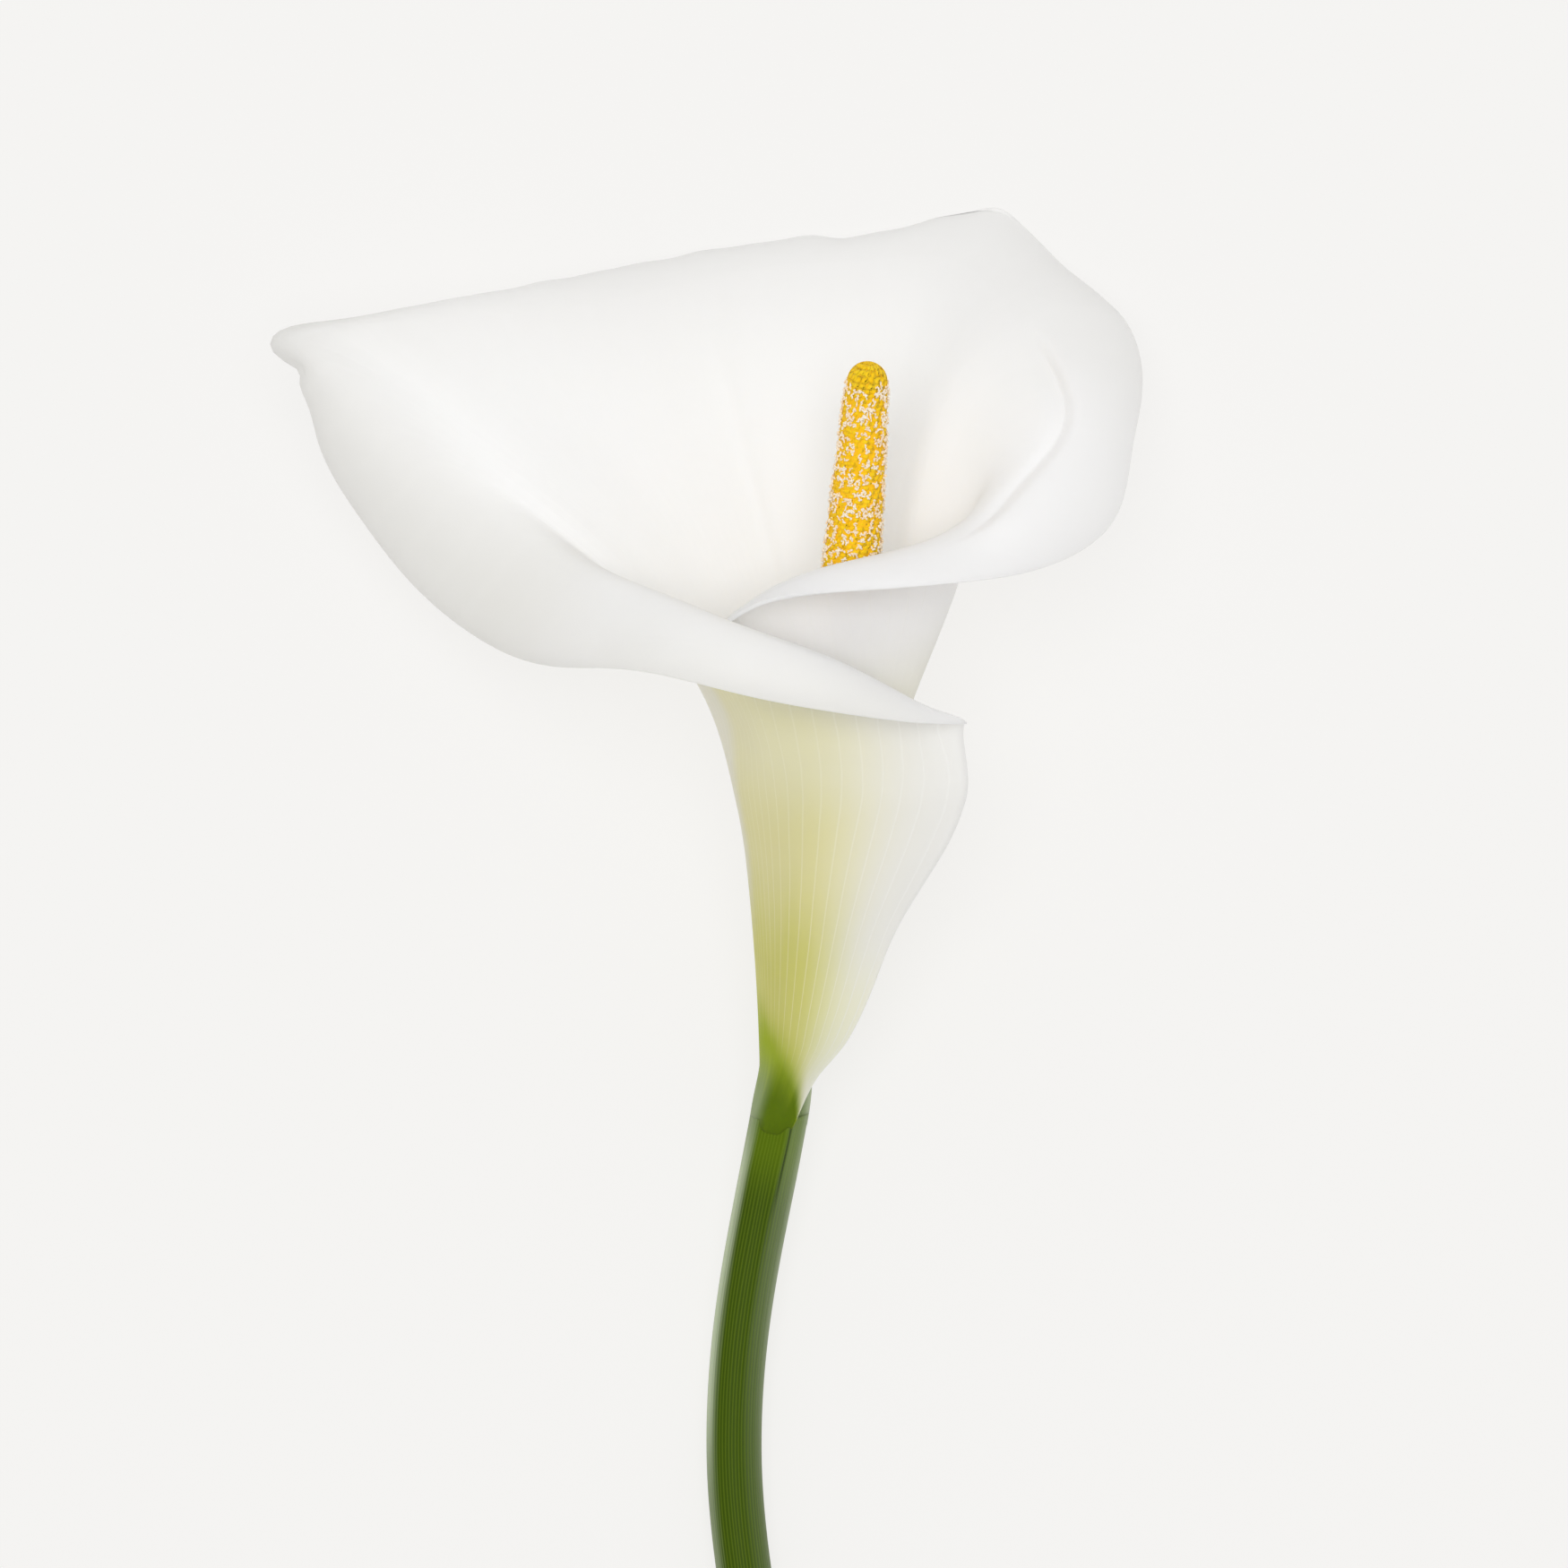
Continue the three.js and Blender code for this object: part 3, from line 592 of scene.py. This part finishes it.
def bell_point(u, w):
    """The bell from the throat to the crest of the roll."""
    top = tube_point(u, np.full_like(u, TUBE_THROAT))
    along = unit(top - tube_point(u, np.full_like(u, TUBE_THROAT - 1)))
    crest = crest_point(u)
    reach = np.linalg.norm(crest - top, axis=1)[:, None]
    pull = (CREST_PULL - TIP_PULL_LOSS * hump(u, tip_place, TIP_REACH))[:, None]
    points = blend(top, along * reach * THROAT_PULL, crest, crest_direction(u) * reach * pull, w)
    angle = rib_angle(u)
    swell = np.sin(np.pi * w**RIGHT_SWELL_LATENESS) ** 2
    right = RIGHT_SWELL * hump(angle, RIGHT_SWELL_ANGLE, RIGHT_SWELL_SPREAD) * swell
    low = smooth(w / LEFT_TUCK_ONSET) * smooth((LEFT_TUCK_END - w) / LEFT_TUCK_FADE)
    left = LEFT_TUCK * hump(angle, LEFT_TUCK_ANGLE, LEFT_TUCK_SPREAD) * low
    rib = RIB_RELIEF * hump(angle, RIB_ANGLE, RIB_SPREAD)
    pleat = PLEAT_RELIEF * hump(angle, PLEAT_ANGLE, PLEAT_SPREAD)
    raised = (rib + pleat) * smooth(w / RELIEF_ONSET) * smooth((1 - w) / RELIEF_FADE)
    return points + (right + left)[:, None] * sideways - raised[:, None] * backwards


def roll_point(u, w):
    """The roll from its crest to the free margin, close to a circle's arc."""
    crest, edge = crest_point(u), edge_point(u)
    span = np.linalg.norm(edge - crest, axis=1)[:, None]
    chord = (edge - crest) / span
    start = crest_direction(u)
    lean = np.clip(np.sum(start * chord, axis=1), SHARPEST_LEAN, 1)[:, None]
    bend = np.arccos(lean)
    pull = np.where(bend < SMALL_STEP, span, span * bend / np.maximum(np.sin(bend), SMALL_STEP))
    arrive = unit(2 * lean * chord - start)
    points = blend(crest, start * pull, edge, arrive * pull, w)
    angle = rib_angle(u)
    points[:, 2] += right_lobe(angle, w)
    points[:, 0] += NOTCH_DEPTH * hump(u, NOTCH_PLACE, NOTCH_SPREAD) * smooth(w / NOTCH_ONSET)
    turn = 2 * np.pi * u
    ripple = np.sin(RIPPLES * turn) + FINE_RIPPLE_SHARE * np.sin(FINE_RIPPLES * turn + 1)
    at_back = smooth((angle - RIPPLE_LOW_ANGLE) / RIPPLE_LOW_EASE)
    at_back = at_back * smooth((RIPPLE_HIGH_ANGLE - angle) / RIPPLE_HIGH_EASE)
    points[:, 1] += RIPPLE_DEPTH * ripple * w**2 * at_back
    return points


def right_lobe(angle, w):
    """The crease that bows down the right roll, with a steep wall up to the soft lobe outside it."""
    here = smooth((angle - LOBE_LOW_ANGLE) / LOBE_LOW_EASE)
    here = here * smooth((LOBE_HIGH_ANGLE - angle) / LOBE_HIGH_EASE)
    crease = CREASE_PLACE + CREASE_BOW * hump(angle, CREASE_BOW_ANGLE, CREASE_BOW_SPREAD)
    inside = -CREASE_DROP * hump(w, crease, CREASE_WIDTH)
    wall = -CREASE_DROP + (CREASE_DROP + LOBE_RISE) * smooth((w - crease) / CREASE_WIDTH)
    top = crease + CREASE_WIDTH
    lobe = LOBE_RISE * (1 - smooth((w - top) / (LOBE_END - top)))
    return here * np.where(w < crease, inside, np.where(w < top, wall, lobe))


def spathe_surface(u, v):
    """v counts 0 to 1 up the tube, 1 to 2 through the bell, and 2 to 3 over the roll."""
    tube = tube_point(u, TUBE_FOOT + (TUBE_THROAT - TUBE_FOOT) * np.minimum(v, 1))
    bell = bell_point(u, np.clip(v - 1, 0, 1))
    roll = roll_point(u, np.clip(v - 2, 0, 1))
    return np.where((v <= 1)[:, None], tube, np.where((v <= 2)[:, None], bell, roll))


def sheet_height(v):
    """From v, 0 to 1 over the whole sheet, the count that spathe_surface takes, a little below 0 at first."""
    below = FOOT_SHEATH / (TUBE_THROAT - TUBE_FOOT)
    return (3 + below) * v - below


def spathe_point(u, v):
    """The tissue below the foot runs on as a thin sheath that ends flush on the stem."""
    points = spathe_surface(u, sheet_height(v))
    points[:, 2] = np.maximum(points[:, 2], -FLOWER_ORIGIN[2] + SHEET_MIDDLE / 2)
    return points


# Where the sheet's colours change: each starts with two places, and goes on with the shares there where
# these aren't 0 and 1. They count across the sheet from its outer margin, or up it from its foot.
THROAT_GLOW_UP = (0.4, 0.5)
LIT_ROLL_UP = (0.62, 0.72)
# The back wall and the left limb are painted greyer: painted shade where they turn away from the lamp.
SHADE_START = (0.16, 0.24)
BACK_SHADE_END = (0.82, 0.76)
BACK_SHADE_UP = (0.53, 0.7)
LIMB_SHADE_END = (0.46, 0.38)
LIMB_SHADE_UP = (0.5, 0.85)
PALE_MARGIN = (0.0, 0.095)
# A paler band down the tube's left side, partly painted light.
PALE_LIT_SIDE = (0.19, 0.235)
PALE_LIT_SIDE_UP = (0.18, 0.3, 0.0, 0.4)
FLAP_KHAKI_AND_SHADOW_DROP = (0.6, 0.8, 0.0, 0.06)
KHAKI_AND_SHADOW_UP = (0.6, 0.46)
PALE_KHAKI_UP = (0.3, 0.42)
OLIVE_UP = (0.3, 0.17)
LIME_UP = (0.16, 0.09)
GREEN_UP = (0.09, 0.03)
GREEN_GAP = 0.036
GREEN_GAP_GROWTH = 0.9
GREEN_GAP_LEAST = 0.01
RAGGEDNESS = 0.04
INNER_WHITE = (0.2, 0.3)
CREAM_UP = (0.22, 0.12)
VEINS_UP = (0.02, 0.12, 0.0, 0.4)
INSIDE_VEIN_SHARE = 0.02
# The stem's pale bands run on over the sheath: real wax bloom with painted highlight.
SHEATH_WAX_HIGHLIGHT_RIGHT = (0.6, 0.7)
SHEATH_WAX_HIGHLIGHT_EDGE = (0.967, 0.883, 0.2, 0.75)
SHEATH_WAX_HIGHLIGHT_LEFT = (0.098, 0.166, 0.0, 0.45)
SHEATH_WAX_HIGHLIGHT_BACK = (0.7, 0.6)
SHEATH_WAX_HIGHLIGHT_UP = (0.1, 0.02)
PETAL_WHITE = colour(249, 249, 247)
# Painted light: the throat a touch lighter than the petal, its cream tint painted bounce light from the
# spadix.
THROAT_BOUNCE_GLOW = colour(252, 252, 248)
# Painted light: the lightest white, a touch above the petal's own, lifting the shaded rolls and the outside
# face.
LIT_WHITE = colour(253, 252, 253)
MARGIN_WHITE = colour(240, 239, 236)
# Greyer copies of the sheet's white: painted shade.
BACK_PAINTED_SHADE = colour(236, 235, 233)
LIMB_PAINTED_SHADE = colour(218, 217, 213)
MARGIN_CREAM = colour(244, 241, 210)
VEIN_WHITE = colour(252, 252, 250)
TUBE_VEIN = colour(246, 240, 206)
TUBE_PALE = colour(235, 228, 184)
TUBE_KHAKI = colour(229, 220, 160)
TUBE_OLIVE = colour(208, 204, 116)
TUBE_LIME = colour(154, 172, 42)
TUBE_GREEN = colour(90, 114, 3)


def finish_tissue(tree, shader, lines, base_colour, relief, shine, depth):
    """The soft satin of living tissue, lit through a little, with its lines as fine relief."""
    feed(tree, shader, {
        "Base Color": base_colour, "Roughness": 0.55, "Specular IOR Level": shine,
        "Subsurface Weight": 0.8, "Subsurface Radius": (1.0, 0.99, 0.95), "Subsurface Scale": depth * MM,
    })
    give_relief(tree, shader, lines.outputs["Line"], relief, depth=0.1)


spathe_inside, tree, shader = new_material("spathe inside")
lines = put(tree, "ShaderNodeGroup", {"Count": 52.0, "Width": 0.25, "Wander": 0.3}, node_tree=tissue_lines)
across_sheet, up_sheet = own_places(tree)
# Painted light deep in the throat.
inside_colour = mixed(tree, ramp(tree, up_sheet, *THROAT_GLOW_UP), THROAT_BOUNCE_GLOW, PETAL_WHITE)
# Painted light: the rolls a touch lighter than the petal.
inside_colour = mixed(tree, ramp(tree, up_sheet, *LIT_ROLL_UP), inside_colour, LIT_WHITE)
# Painted shade on the upper back wall and over the left limb.
shade_start = ramp(tree, across_sheet, *SHADE_START)
back = product(
    tree, shade_start, ramp(tree, across_sheet, *BACK_SHADE_END), ramp(tree, up_sheet, *BACK_SHADE_UP),
)
limb = product(
    tree, shade_start, ramp(tree, across_sheet, *LIMB_SHADE_END), ramp(tree, up_sheet, *LIMB_SHADE_UP),
)
inside_colour = mixed(tree, back, inside_colour, BACK_PAINTED_SHADE)
inside_colour = mixed(tree, limb, inside_colour, LIMB_PAINTED_SHADE)
line_share = product(tree, lines.outputs["Line"], INSIDE_VEIN_SHARE)
inside_colour = mixed(tree, line_share, inside_colour, VEIN_WHITE)
finish_tissue(tree, shader, lines, inside_colour, relief=0.1, shine=0.3, depth=5)

# Outside, the sheet is khaki and then green towards the stem, but its outer margin stays pale and the
# green reaches closer to it the lower it runs. Up under the rolls and near the outer margin the khaki is
# partly painted shadow of the rolls.
spathe_outside, tree, shader = new_material("spathe outside")
lines = put(tree, "ShaderNodeGroup", {"Count": 80.0, "Width": 0.08, "Wander": 0.14}, node_tree=tissue_lines)
across_sheet, up_sheet = own_places(tree)
raggedness = sums(tree, "SUBTRACT", lines.outputs["Broad"], 0.5)
ragged = sums(tree, "MULTIPLY_ADD", raggedness, RAGGEDNESS, up_sheet)
# Painted light in part: the tube's left side is kept pale.
pale_lit_side = product(tree, ramp(tree, across_sheet, *PALE_LIT_SIDE), ramp(tree, up_sheet, *PALE_LIT_SIDE_UP))
# Painted shadow under the rolls, together with the tube's own khaki.
khaki_and_shadow_height = sums(tree, "ADD", up_sheet, ramp(tree, across_sheet, *FLAP_KHAKI_AND_SHADOW_DROP))
khaki_and_shadow_share = product(
    tree, ramp(tree, across_sheet, *PALE_MARGIN), ramp(tree, khaki_and_shadow_height, *KHAKI_AND_SHADOW_UP),
    sums(tree, "SUBTRACT", 1.0, pale_lit_side),
)
green_gap = sums(tree, "ADD", sums(tree, "SUBTRACT", across_sheet, up_sheet), GREEN_GAP)
green_reach = sums(tree, "MULTIPLY_ADD", up_sheet, GREEN_GAP_GROWTH, GREEN_GAP_LEAST)
from_low_margin = ramp(tree, sums(tree, "DIVIDE", green_gap, green_reach), 0.0, 1.0)
lime_share = product(tree, from_low_margin, ramp(tree, ragged, *LIME_UP))
green_share = product(tree, from_low_margin, ramp(tree, ragged, *GREEN_UP))
tube_colour = mixed(tree, ramp(tree, up_sheet, *PALE_KHAKI_UP), TUBE_KHAKI, TUBE_PALE)
tube_colour = mixed(tree, ramp(tree, ragged, *OLIVE_UP), tube_colour, TUBE_OLIVE)
# Painted light: away from the outer margin the outside face takes the lighter white.
margin_colour = mixed(tree, ramp(tree, across_sheet, *INNER_WHITE), MARGIN_WHITE, LIT_WHITE)
margin_colour = mixed(tree, ramp(tree, up_sheet, *CREAM_UP), margin_colour, MARGIN_CREAM)
outside_colour = mixed(tree, khaki_and_shadow_share, margin_colour, tube_colour)
line_colour = mixed(tree, khaki_and_shadow_share, VEIN_WHITE, TUBE_VEIN)
line_share = product(tree, lines.outputs["Line"], ramp(tree, up_sheet, *VEINS_UP))
outside_colour = mixed(tree, line_share, outside_colour, line_colour)
outside_colour = mixed(tree, lime_share, outside_colour, TUBE_LIME)
outside_colour = mixed(tree, green_share, outside_colour, TUBE_GREEN)
# Painted highlight with the real wax bloom, where the sheath wraps the stem.
wax_and_highlight_right = product(
    tree, ramp(tree, across_sheet, *SHEATH_WAX_HIGHLIGHT_RIGHT), ramp(tree, across_sheet, *SHEATH_WAX_HIGHLIGHT_EDGE),
)
wax_and_highlight_left = product(
    tree, ramp(tree, across_sheet, *SHEATH_WAX_HIGHLIGHT_LEFT), ramp(tree, across_sheet, *SHEATH_WAX_HIGHLIGHT_BACK),
)
wax_and_highlight = product(tree, sums(tree, "ADD", wax_and_highlight_right, wax_and_highlight_left), ramp(tree, up_sheet, *SHEATH_WAX_HIGHLIGHT_UP))
outside_colour = mixed(tree, wax_and_highlight, outside_colour, STEM_WAX_AND_HIGHLIGHT)
finish_tissue(tree, shader, lines, outside_colour, relief=0.15, shine=0.12, depth=4)

spathe_mesh = shaped_grid(SPATHE_COLUMNS, SPATHE_ROWS, spathe_point)
numbers = np.arange((SPATHE_COLUMNS + 1) * (SPATHE_ROWS + 1))
u = numbers % (SPATHE_COLUMNS + 1) / SPATHE_COLUMNS
v = numbers // (SPATHE_COLUMNS + 1) / SPATHE_ROWS
height = sheet_height(v)
at_margin = (u == 0) | (u == 1) | (v == 0) | (v == 1)
rounds = THROAT_ROUNDS * hump(height, *THROAT_UP)
rounds = rounds + LIMB_ROUNDS * hump(u, *LIMB_ACROSS) * hump(height, *LIMB_UP)
rounds = rounds + FOLD_ROUNDS * hump(u, *FOLD_ACROSS) * hump(height, *FOLD_UP)
rounds = np.where(at_margin, 0, rounds.round())
spathe_mesh.verts.ensure_lookup_table()
for done in range(int(rounds.max())):
    softened = [spathe_mesh.verts[number] for number in np.flatnonzero(rounds > done)]
    bmesh.ops.smooth_vert(
        spathe_mesh, verts=softened, factor=ROUND_STRENGTH, use_axis_x=True, use_axis_y=True, use_axis_z=True,
    )
spathe = finish_piece("flower_spathe", spathe_mesh, [spathe_inside, spathe_outside], "spathe")
in_blade = smooth(SIDE_MARGIN_EASE * u * (1 - u)) * smooth(END_MARGIN_EASE * v)
in_blade = in_blade * smooth(END_MARGIN_EASE * (1 - v))
share = SHEET_MARGIN_SHARE + (1 - SHEET_MARGIN_SHARE) * in_blade
weights = np.where(at_margin, 0, (share - SHEET_EDGE_SHARE) / (1 - SHEET_EDGE_SHARE))
blade = spathe.vertex_groups.new(name="blade")
for number, weight in enumerate(weights.tolist()):
    blade.add([number], weight, "REPLACE")
thicken = spathe.modifiers.new("thickness", "SOLIDIFY")
thicken.thickness = SHEET_MIDDLE * MM
thicken.offset = 0
thicken.vertex_group = "blade"
thicken.thickness_vertex_group = SHEET_EDGE_SHARE
thicken.material_offset = 1

# The spadix: a solid fleshy finger, orange-yellow, with a rounded top. It is grown in one with the stem
# and stands on the stem's seat, along the middle of the funnel.
SPADIX_LINE = [
    (0.2, -40.83, -0.46),
    (3.6, -20, 6.2),
    (6.6, 4, 13.9),
    (9.2, 29.4, 21.6),
    (11.5, 55.6, 29.7),
]
SPADIX_WAY = [0, 0.04, 0.1, 0.18, 0.3, 0.75, 0.93, 1]
SPADIX_RADIUS = [1.6, 2.05, 2.6, 3.5, 3.95, 3.9, 3.25, 2.9]
SPADIX_DOME = 2.9
LENGTH_STEPS = 199
FINGER_DEPTH = 0.11
FINGER_COLUMNS = 48
FINGER_ROWS = 120
FINGER_ORANGE = colour(255, 196, 0)

spadix_line = curve_through(chain_places(SPADIX_LINE), SPADIX_LINE)
spadix_thickness = curve_through(SPADIX_WAY, SPADIX_RADIUS)
line_steps = np.diff(spadix_line(np.linspace(0, 1, LENGTH_STEPS + 1)), axis=0)
spadix_length = float(np.sum(np.linalg.norm(line_steps, axis=1)))
spadix_reach = spadix_length + SPADIX_DOME


def spadix_wrap(u, v, out):
    """u once round, v from the foot over the rounded top, out millimetres off the finger's outline."""
    travel = v * spadix_reach
    place = np.clip(travel / spadix_length, 0, 1)
    cap = np.clip((travel - spadix_length) / SPADIX_DOME, 0, 1) * math.pi / 2
    along, across, over = line_frame(spadix_line, place)
    turn = 2 * math.pi * u
    radial = across * np.cos(turn)[:, None] + over * np.sin(turn)[:, None]
    ring = ((spadix_thickness(place) + out) * np.cos(cap))[:, None] * radial
    rise = ((SPADIX_DOME + out) * np.sin(cap))[:, None] * along
    return spadix_line(place) + ring + rise


finger_orange, tree, shader = new_material("finger under the florets")
feed(tree, shader, {"Base Color": FINGER_ORANGE, "Roughness": 0.8})

finger = shaped_grid(
    FINGER_COLUMNS, FINGER_ROWS, lambda u, v: spadix_wrap(u, v, np.full_like(u, -FINGER_DEPTH)),
)
bmesh.ops.remove_doubles(finger, verts=finger.verts, dist=SAME_POINT)
bmesh.ops.holes_fill(finger, edges=[edge for edge in finger.edges if edge.is_boundary], sides=0)
bmesh.ops.recalc_face_normals(finger, faces=finger.faces)
finish_piece("flower_spadix", finger, [finger_orange], "spadix")

# The florets: tiny yellow grains that grow out of the finger's skin and pack it all round. They stand
# row by row, each row half a step on from the last, and sink almost smooth at the tip.
FLORETS_AROUND = 36
FLORET_ROWS = 160
FLORET_RADIUS = 0.68
FLORET_BULGE = 0.28
FLORET_STRAY = 0.22
FLORET_UNEVENNESS = 0.05
FLORET_SINK = 0.2
BARE_TIP_SINK = 0.4
BARE_TIP_START = 0.93
BARE_TIP_EASE = 0.04
BARE_TIP_CALM = 0.85
FLORET_MOTTLING = (0.3, 0.7)
FLORET_GOLD = colour(255, 201, 0)
FLORET_YELLOW = colour(255, 216, 30)
chance = np.random.default_rng(seed=11)


def repeat_shape(shape, count):
    """Doubles a small shape until it is there count times, each copy's corners in one run."""
    corners, sides = len(shape.verts), len(shape.faces)
    made = 1
    while made < count:
        more = min(made, count - made)
        copied = list(shape.verts)[: corners * more] + list(shape.faces)[: sides * more]
        bmesh.ops.duplicate(shape, geom=copied)
        made += more
    return np.array([vert.co[:] for vert in shape.verts]), np.arange(corners * count) // corners


def place_corners(shape, points):
    for vert, point in zip(shape.verts, (points + FLOWER_ORIGIN) * MM):
        vert.co = point


def mottled(tree, places, first, second, scale, detail):
    """Two colours in soft patches, fixed to the piece."""
    here = put(tree, "ShaderNodeTexCoord", {}).outputs["Object"]
    patch = put(tree, "ShaderNodeTexNoise", {"Vector": here, "Scale": scale, "Detail": detail}).outputs[0]
    return mixed(tree, ramp(tree, patch, *places), first, second)


floret_yellow, tree, shader = new_material("florets")
feed(tree, shader, {
    "Base Color": mottled(tree, FLORET_MOTTLING, FLORET_GOLD, FLORET_YELLOW, scale=900.0, detail=3.0),
    "Roughness": 0.75, "Specular IOR Level": 0.2,
    "Sheen Weight": 0.5, "Sheen Roughness": 0.6, "Sheen Tint": (1.0, 0.72, 0.12, 1),
})

florets = bmesh.new()
bmesh.ops.create_uvsphere(florets, u_segments=6, v_segments=3, radius=FLORET_RADIUS)
flat, floret = repeat_shape(florets, FLORETS_AROUND * FLORET_ROWS)
jitter = chance.uniform(-1, 1, (FLORETS_AROUND * FLORET_ROWS, 3))[floret]
row = floret // FLORETS_AROUND
u = (flat[:, 0] + floret % FLORETS_AROUND + 0.5 * row + FLORET_STRAY * jitter[:, 0]) / FLORETS_AROUND
v = (flat[:, 1] + row + 0.5 + FLORET_STRAY * jitter[:, 1]) / FLORET_ROWS
standing = 1 - BARE_TIP_CALM * smooth((v - BARE_TIP_START) / BARE_TIP_EASE)
out = (flat[:, 2] * FLORET_BULGE + FLORET_UNEVENNESS * jitter[:, 2]) * standing
out = out - FLORET_SINK * (BARE_TIP_SINK + (1 - BARE_TIP_SINK) * standing)
place_corners(florets, spadix_wrap(u, np.clip(v, 0, 1), out))
finish_piece("spadix_florets", florets, [floret_yellow], None)

# The pollen: dry cream-white dust shed by the florets. It hangs on them, from the funnel's mouth nearly
# up to the tip, in crooked threads of four crumbs, each crumb a short step on from the last.
POLLEN_THREADS = 2100
THREAD_CRUMBS = 4
THREAD_CROOK = 1.7
THREAD_STEP = 0.21
THREAD_START = (0.42, 0.97)
POLLEN_TOP = 0.985
POLLEN_OUT = (-0.1, 0.26)
CRUMB_SIZE = (0.09, 0.19)
CRUMB_STRETCH = (1.5, 1, 1)
POLLEN_RADIUS = 3.8
POLLEN_MOTTLING = (0.35, 0.65)
POLLEN_CREAM = colour(253, 232, 202)
POLLEN_WHITE = colour(255, 245, 228)

pollen_white, tree, shader = new_material("pollen")
pollen_colour = mottled(tree, POLLEN_MOTTLING, POLLEN_CREAM, POLLEN_WHITE, scale=500.0, detail=2.0)
feed(tree, shader, {"Base Color": pollen_colour, "Roughness": 0.85})

pollen = bmesh.new()
bmesh.ops.create_icosphere(pollen, subdivisions=1, radius=1)
crumbs = POLLEN_THREADS * THREAD_CRUMBS
crumb_shape, crumb = repeat_shape(pollen, crumbs)
turns = chance.uniform(-THREAD_CROOK, THREAD_CROOK, (POLLEN_THREADS, THREAD_CRUMBS))
heading = chance.uniform(0, 2 * np.pi, (POLLEN_THREADS, 1)) + np.cumsum(turns, axis=1)
step = np.cumsum(np.stack([np.cos(heading), np.sin(heading)], axis=-1), axis=1) * THREAD_STEP
girth = 2 * np.pi * POLLEN_RADIUS
start_around = chance.uniform(0, 1, POLLEN_THREADS)
start_up = chance.uniform(*THREAD_START, POLLEN_THREADS)
start = np.stack([start_around, start_up], axis=-1)[:, None]
crumb_place = (start + step / (girth, spadix_reach)).reshape(-1, 2)[crumb]
heading = heading.reshape(-1)[crumb]
crumb_shape = crumb_shape * chance.uniform(*CRUMB_SIZE, (crumbs, 1))[crumb] * CRUMB_STRETCH
across = crumb_shape[:, 0] * np.cos(heading) - crumb_shape[:, 1] * np.sin(heading)
along = crumb_shape[:, 0] * np.sin(heading) + crumb_shape[:, 1] * np.cos(heading)
u = crumb_place[:, 0] + across / girth
v = np.clip(crumb_place[:, 1] + along / spadix_reach, 0, POLLEN_TOP)
out = crumb_shape[:, 2] + chance.uniform(*POLLEN_OUT, crumbs)[crumb]
place_corners(pollen, spadix_wrap(u, v, out))
finish_piece("spadix_pollen", pollen, [pollen_white], None)

# The studio: a plain pale table, one broad soft lamp over the flower and a bright even room. The camera
# looks straight down on the lying flower. The table and the lamp are given in metres.
TABLE_SIZE = 4
TABLE_DROP = 0.0002
TABLE_GREY = (0.15, 0.15, 0.15, 1)
TABLE_GLOW = (0.765, 0.757, 0.742, 1)
ROOM_COLOUR = (1.0, 0.998, 0.992, 1)
ROOM_LIGHT = 0.52
LAMP_PLACE = (-0.05, 0.3, 2.33)
LAMP_AIM = (0, 0.05, 0)
LAMP_SIZE = 1.6
LAMP_POWER = 28
VIEW_WIDTH = 218.75
CAMERA_HEIGHT = 2022.8
CAMERA_REACH = 2000
SENSOR_WIDTH = 36
FARTHEST_SEEN = 20

table_top, tree, shader = new_material("table top")
feed(tree, shader, {
    "Base Color": TABLE_GREY, "Roughness": 0.9, "Specular IOR Level": 0.0,
    "Emission Color": TABLE_GLOW, "Emission Strength": 1.0,
})
table_mesh = bmesh.new()
bmesh.ops.create_grid(table_mesh, x_segments=1, y_segments=1, size=TABLE_SIZE)
mesh = bpy.data.meshes.new("table")
table_mesh.to_mesh(mesh)
table_mesh.free()
mesh.materials.append(table_top)
table = bpy.data.objects.new("table", mesh)
table.location = (0, 0, -TABLE_DROP)
bpy.context.scene.collection.objects.link(table)

world = bpy.data.worlds.new("room")
world.use_nodes = True
room = world.node_tree
feed(room, room.nodes["Background"], {"Color": ROOM_COLOUR, "Strength": ROOM_LIGHT})
bpy.context.scene.world = world

lamp = bpy.data.lights.new("key light", "AREA")
lamp.shape = "DISK"
lamp.size = LAMP_SIZE
lamp.energy = LAMP_POWER
light = bpy.data.objects.new("key light", lamp)
light.location = LAMP_PLACE
light.rotation_euler = (Vector(LAMP_AIM) - Vector(LAMP_PLACE)).to_track_quat("-Z", "Y").to_euler()
bpy.context.scene.collection.objects.link(light)

lens = bpy.data.cameras.new("camera")
lens.sensor_width = SENSOR_WIDTH
lens.lens = SENSOR_WIDTH * CAMERA_REACH / VIEW_WIDTH
lens.clip_end = FARTHEST_SEEN
camera = bpy.data.objects.new("camera", lens)
camera.location = (FLOWER_ORIGIN[0] * MM, FLOWER_ORIGIN[1] * MM, CAMERA_HEIGHT * MM)
bpy.context.scene.collection.objects.link(camera)
bpy.context.scene.camera = camera
bpy.context.scene.view_settings.view_transform = "Standard"
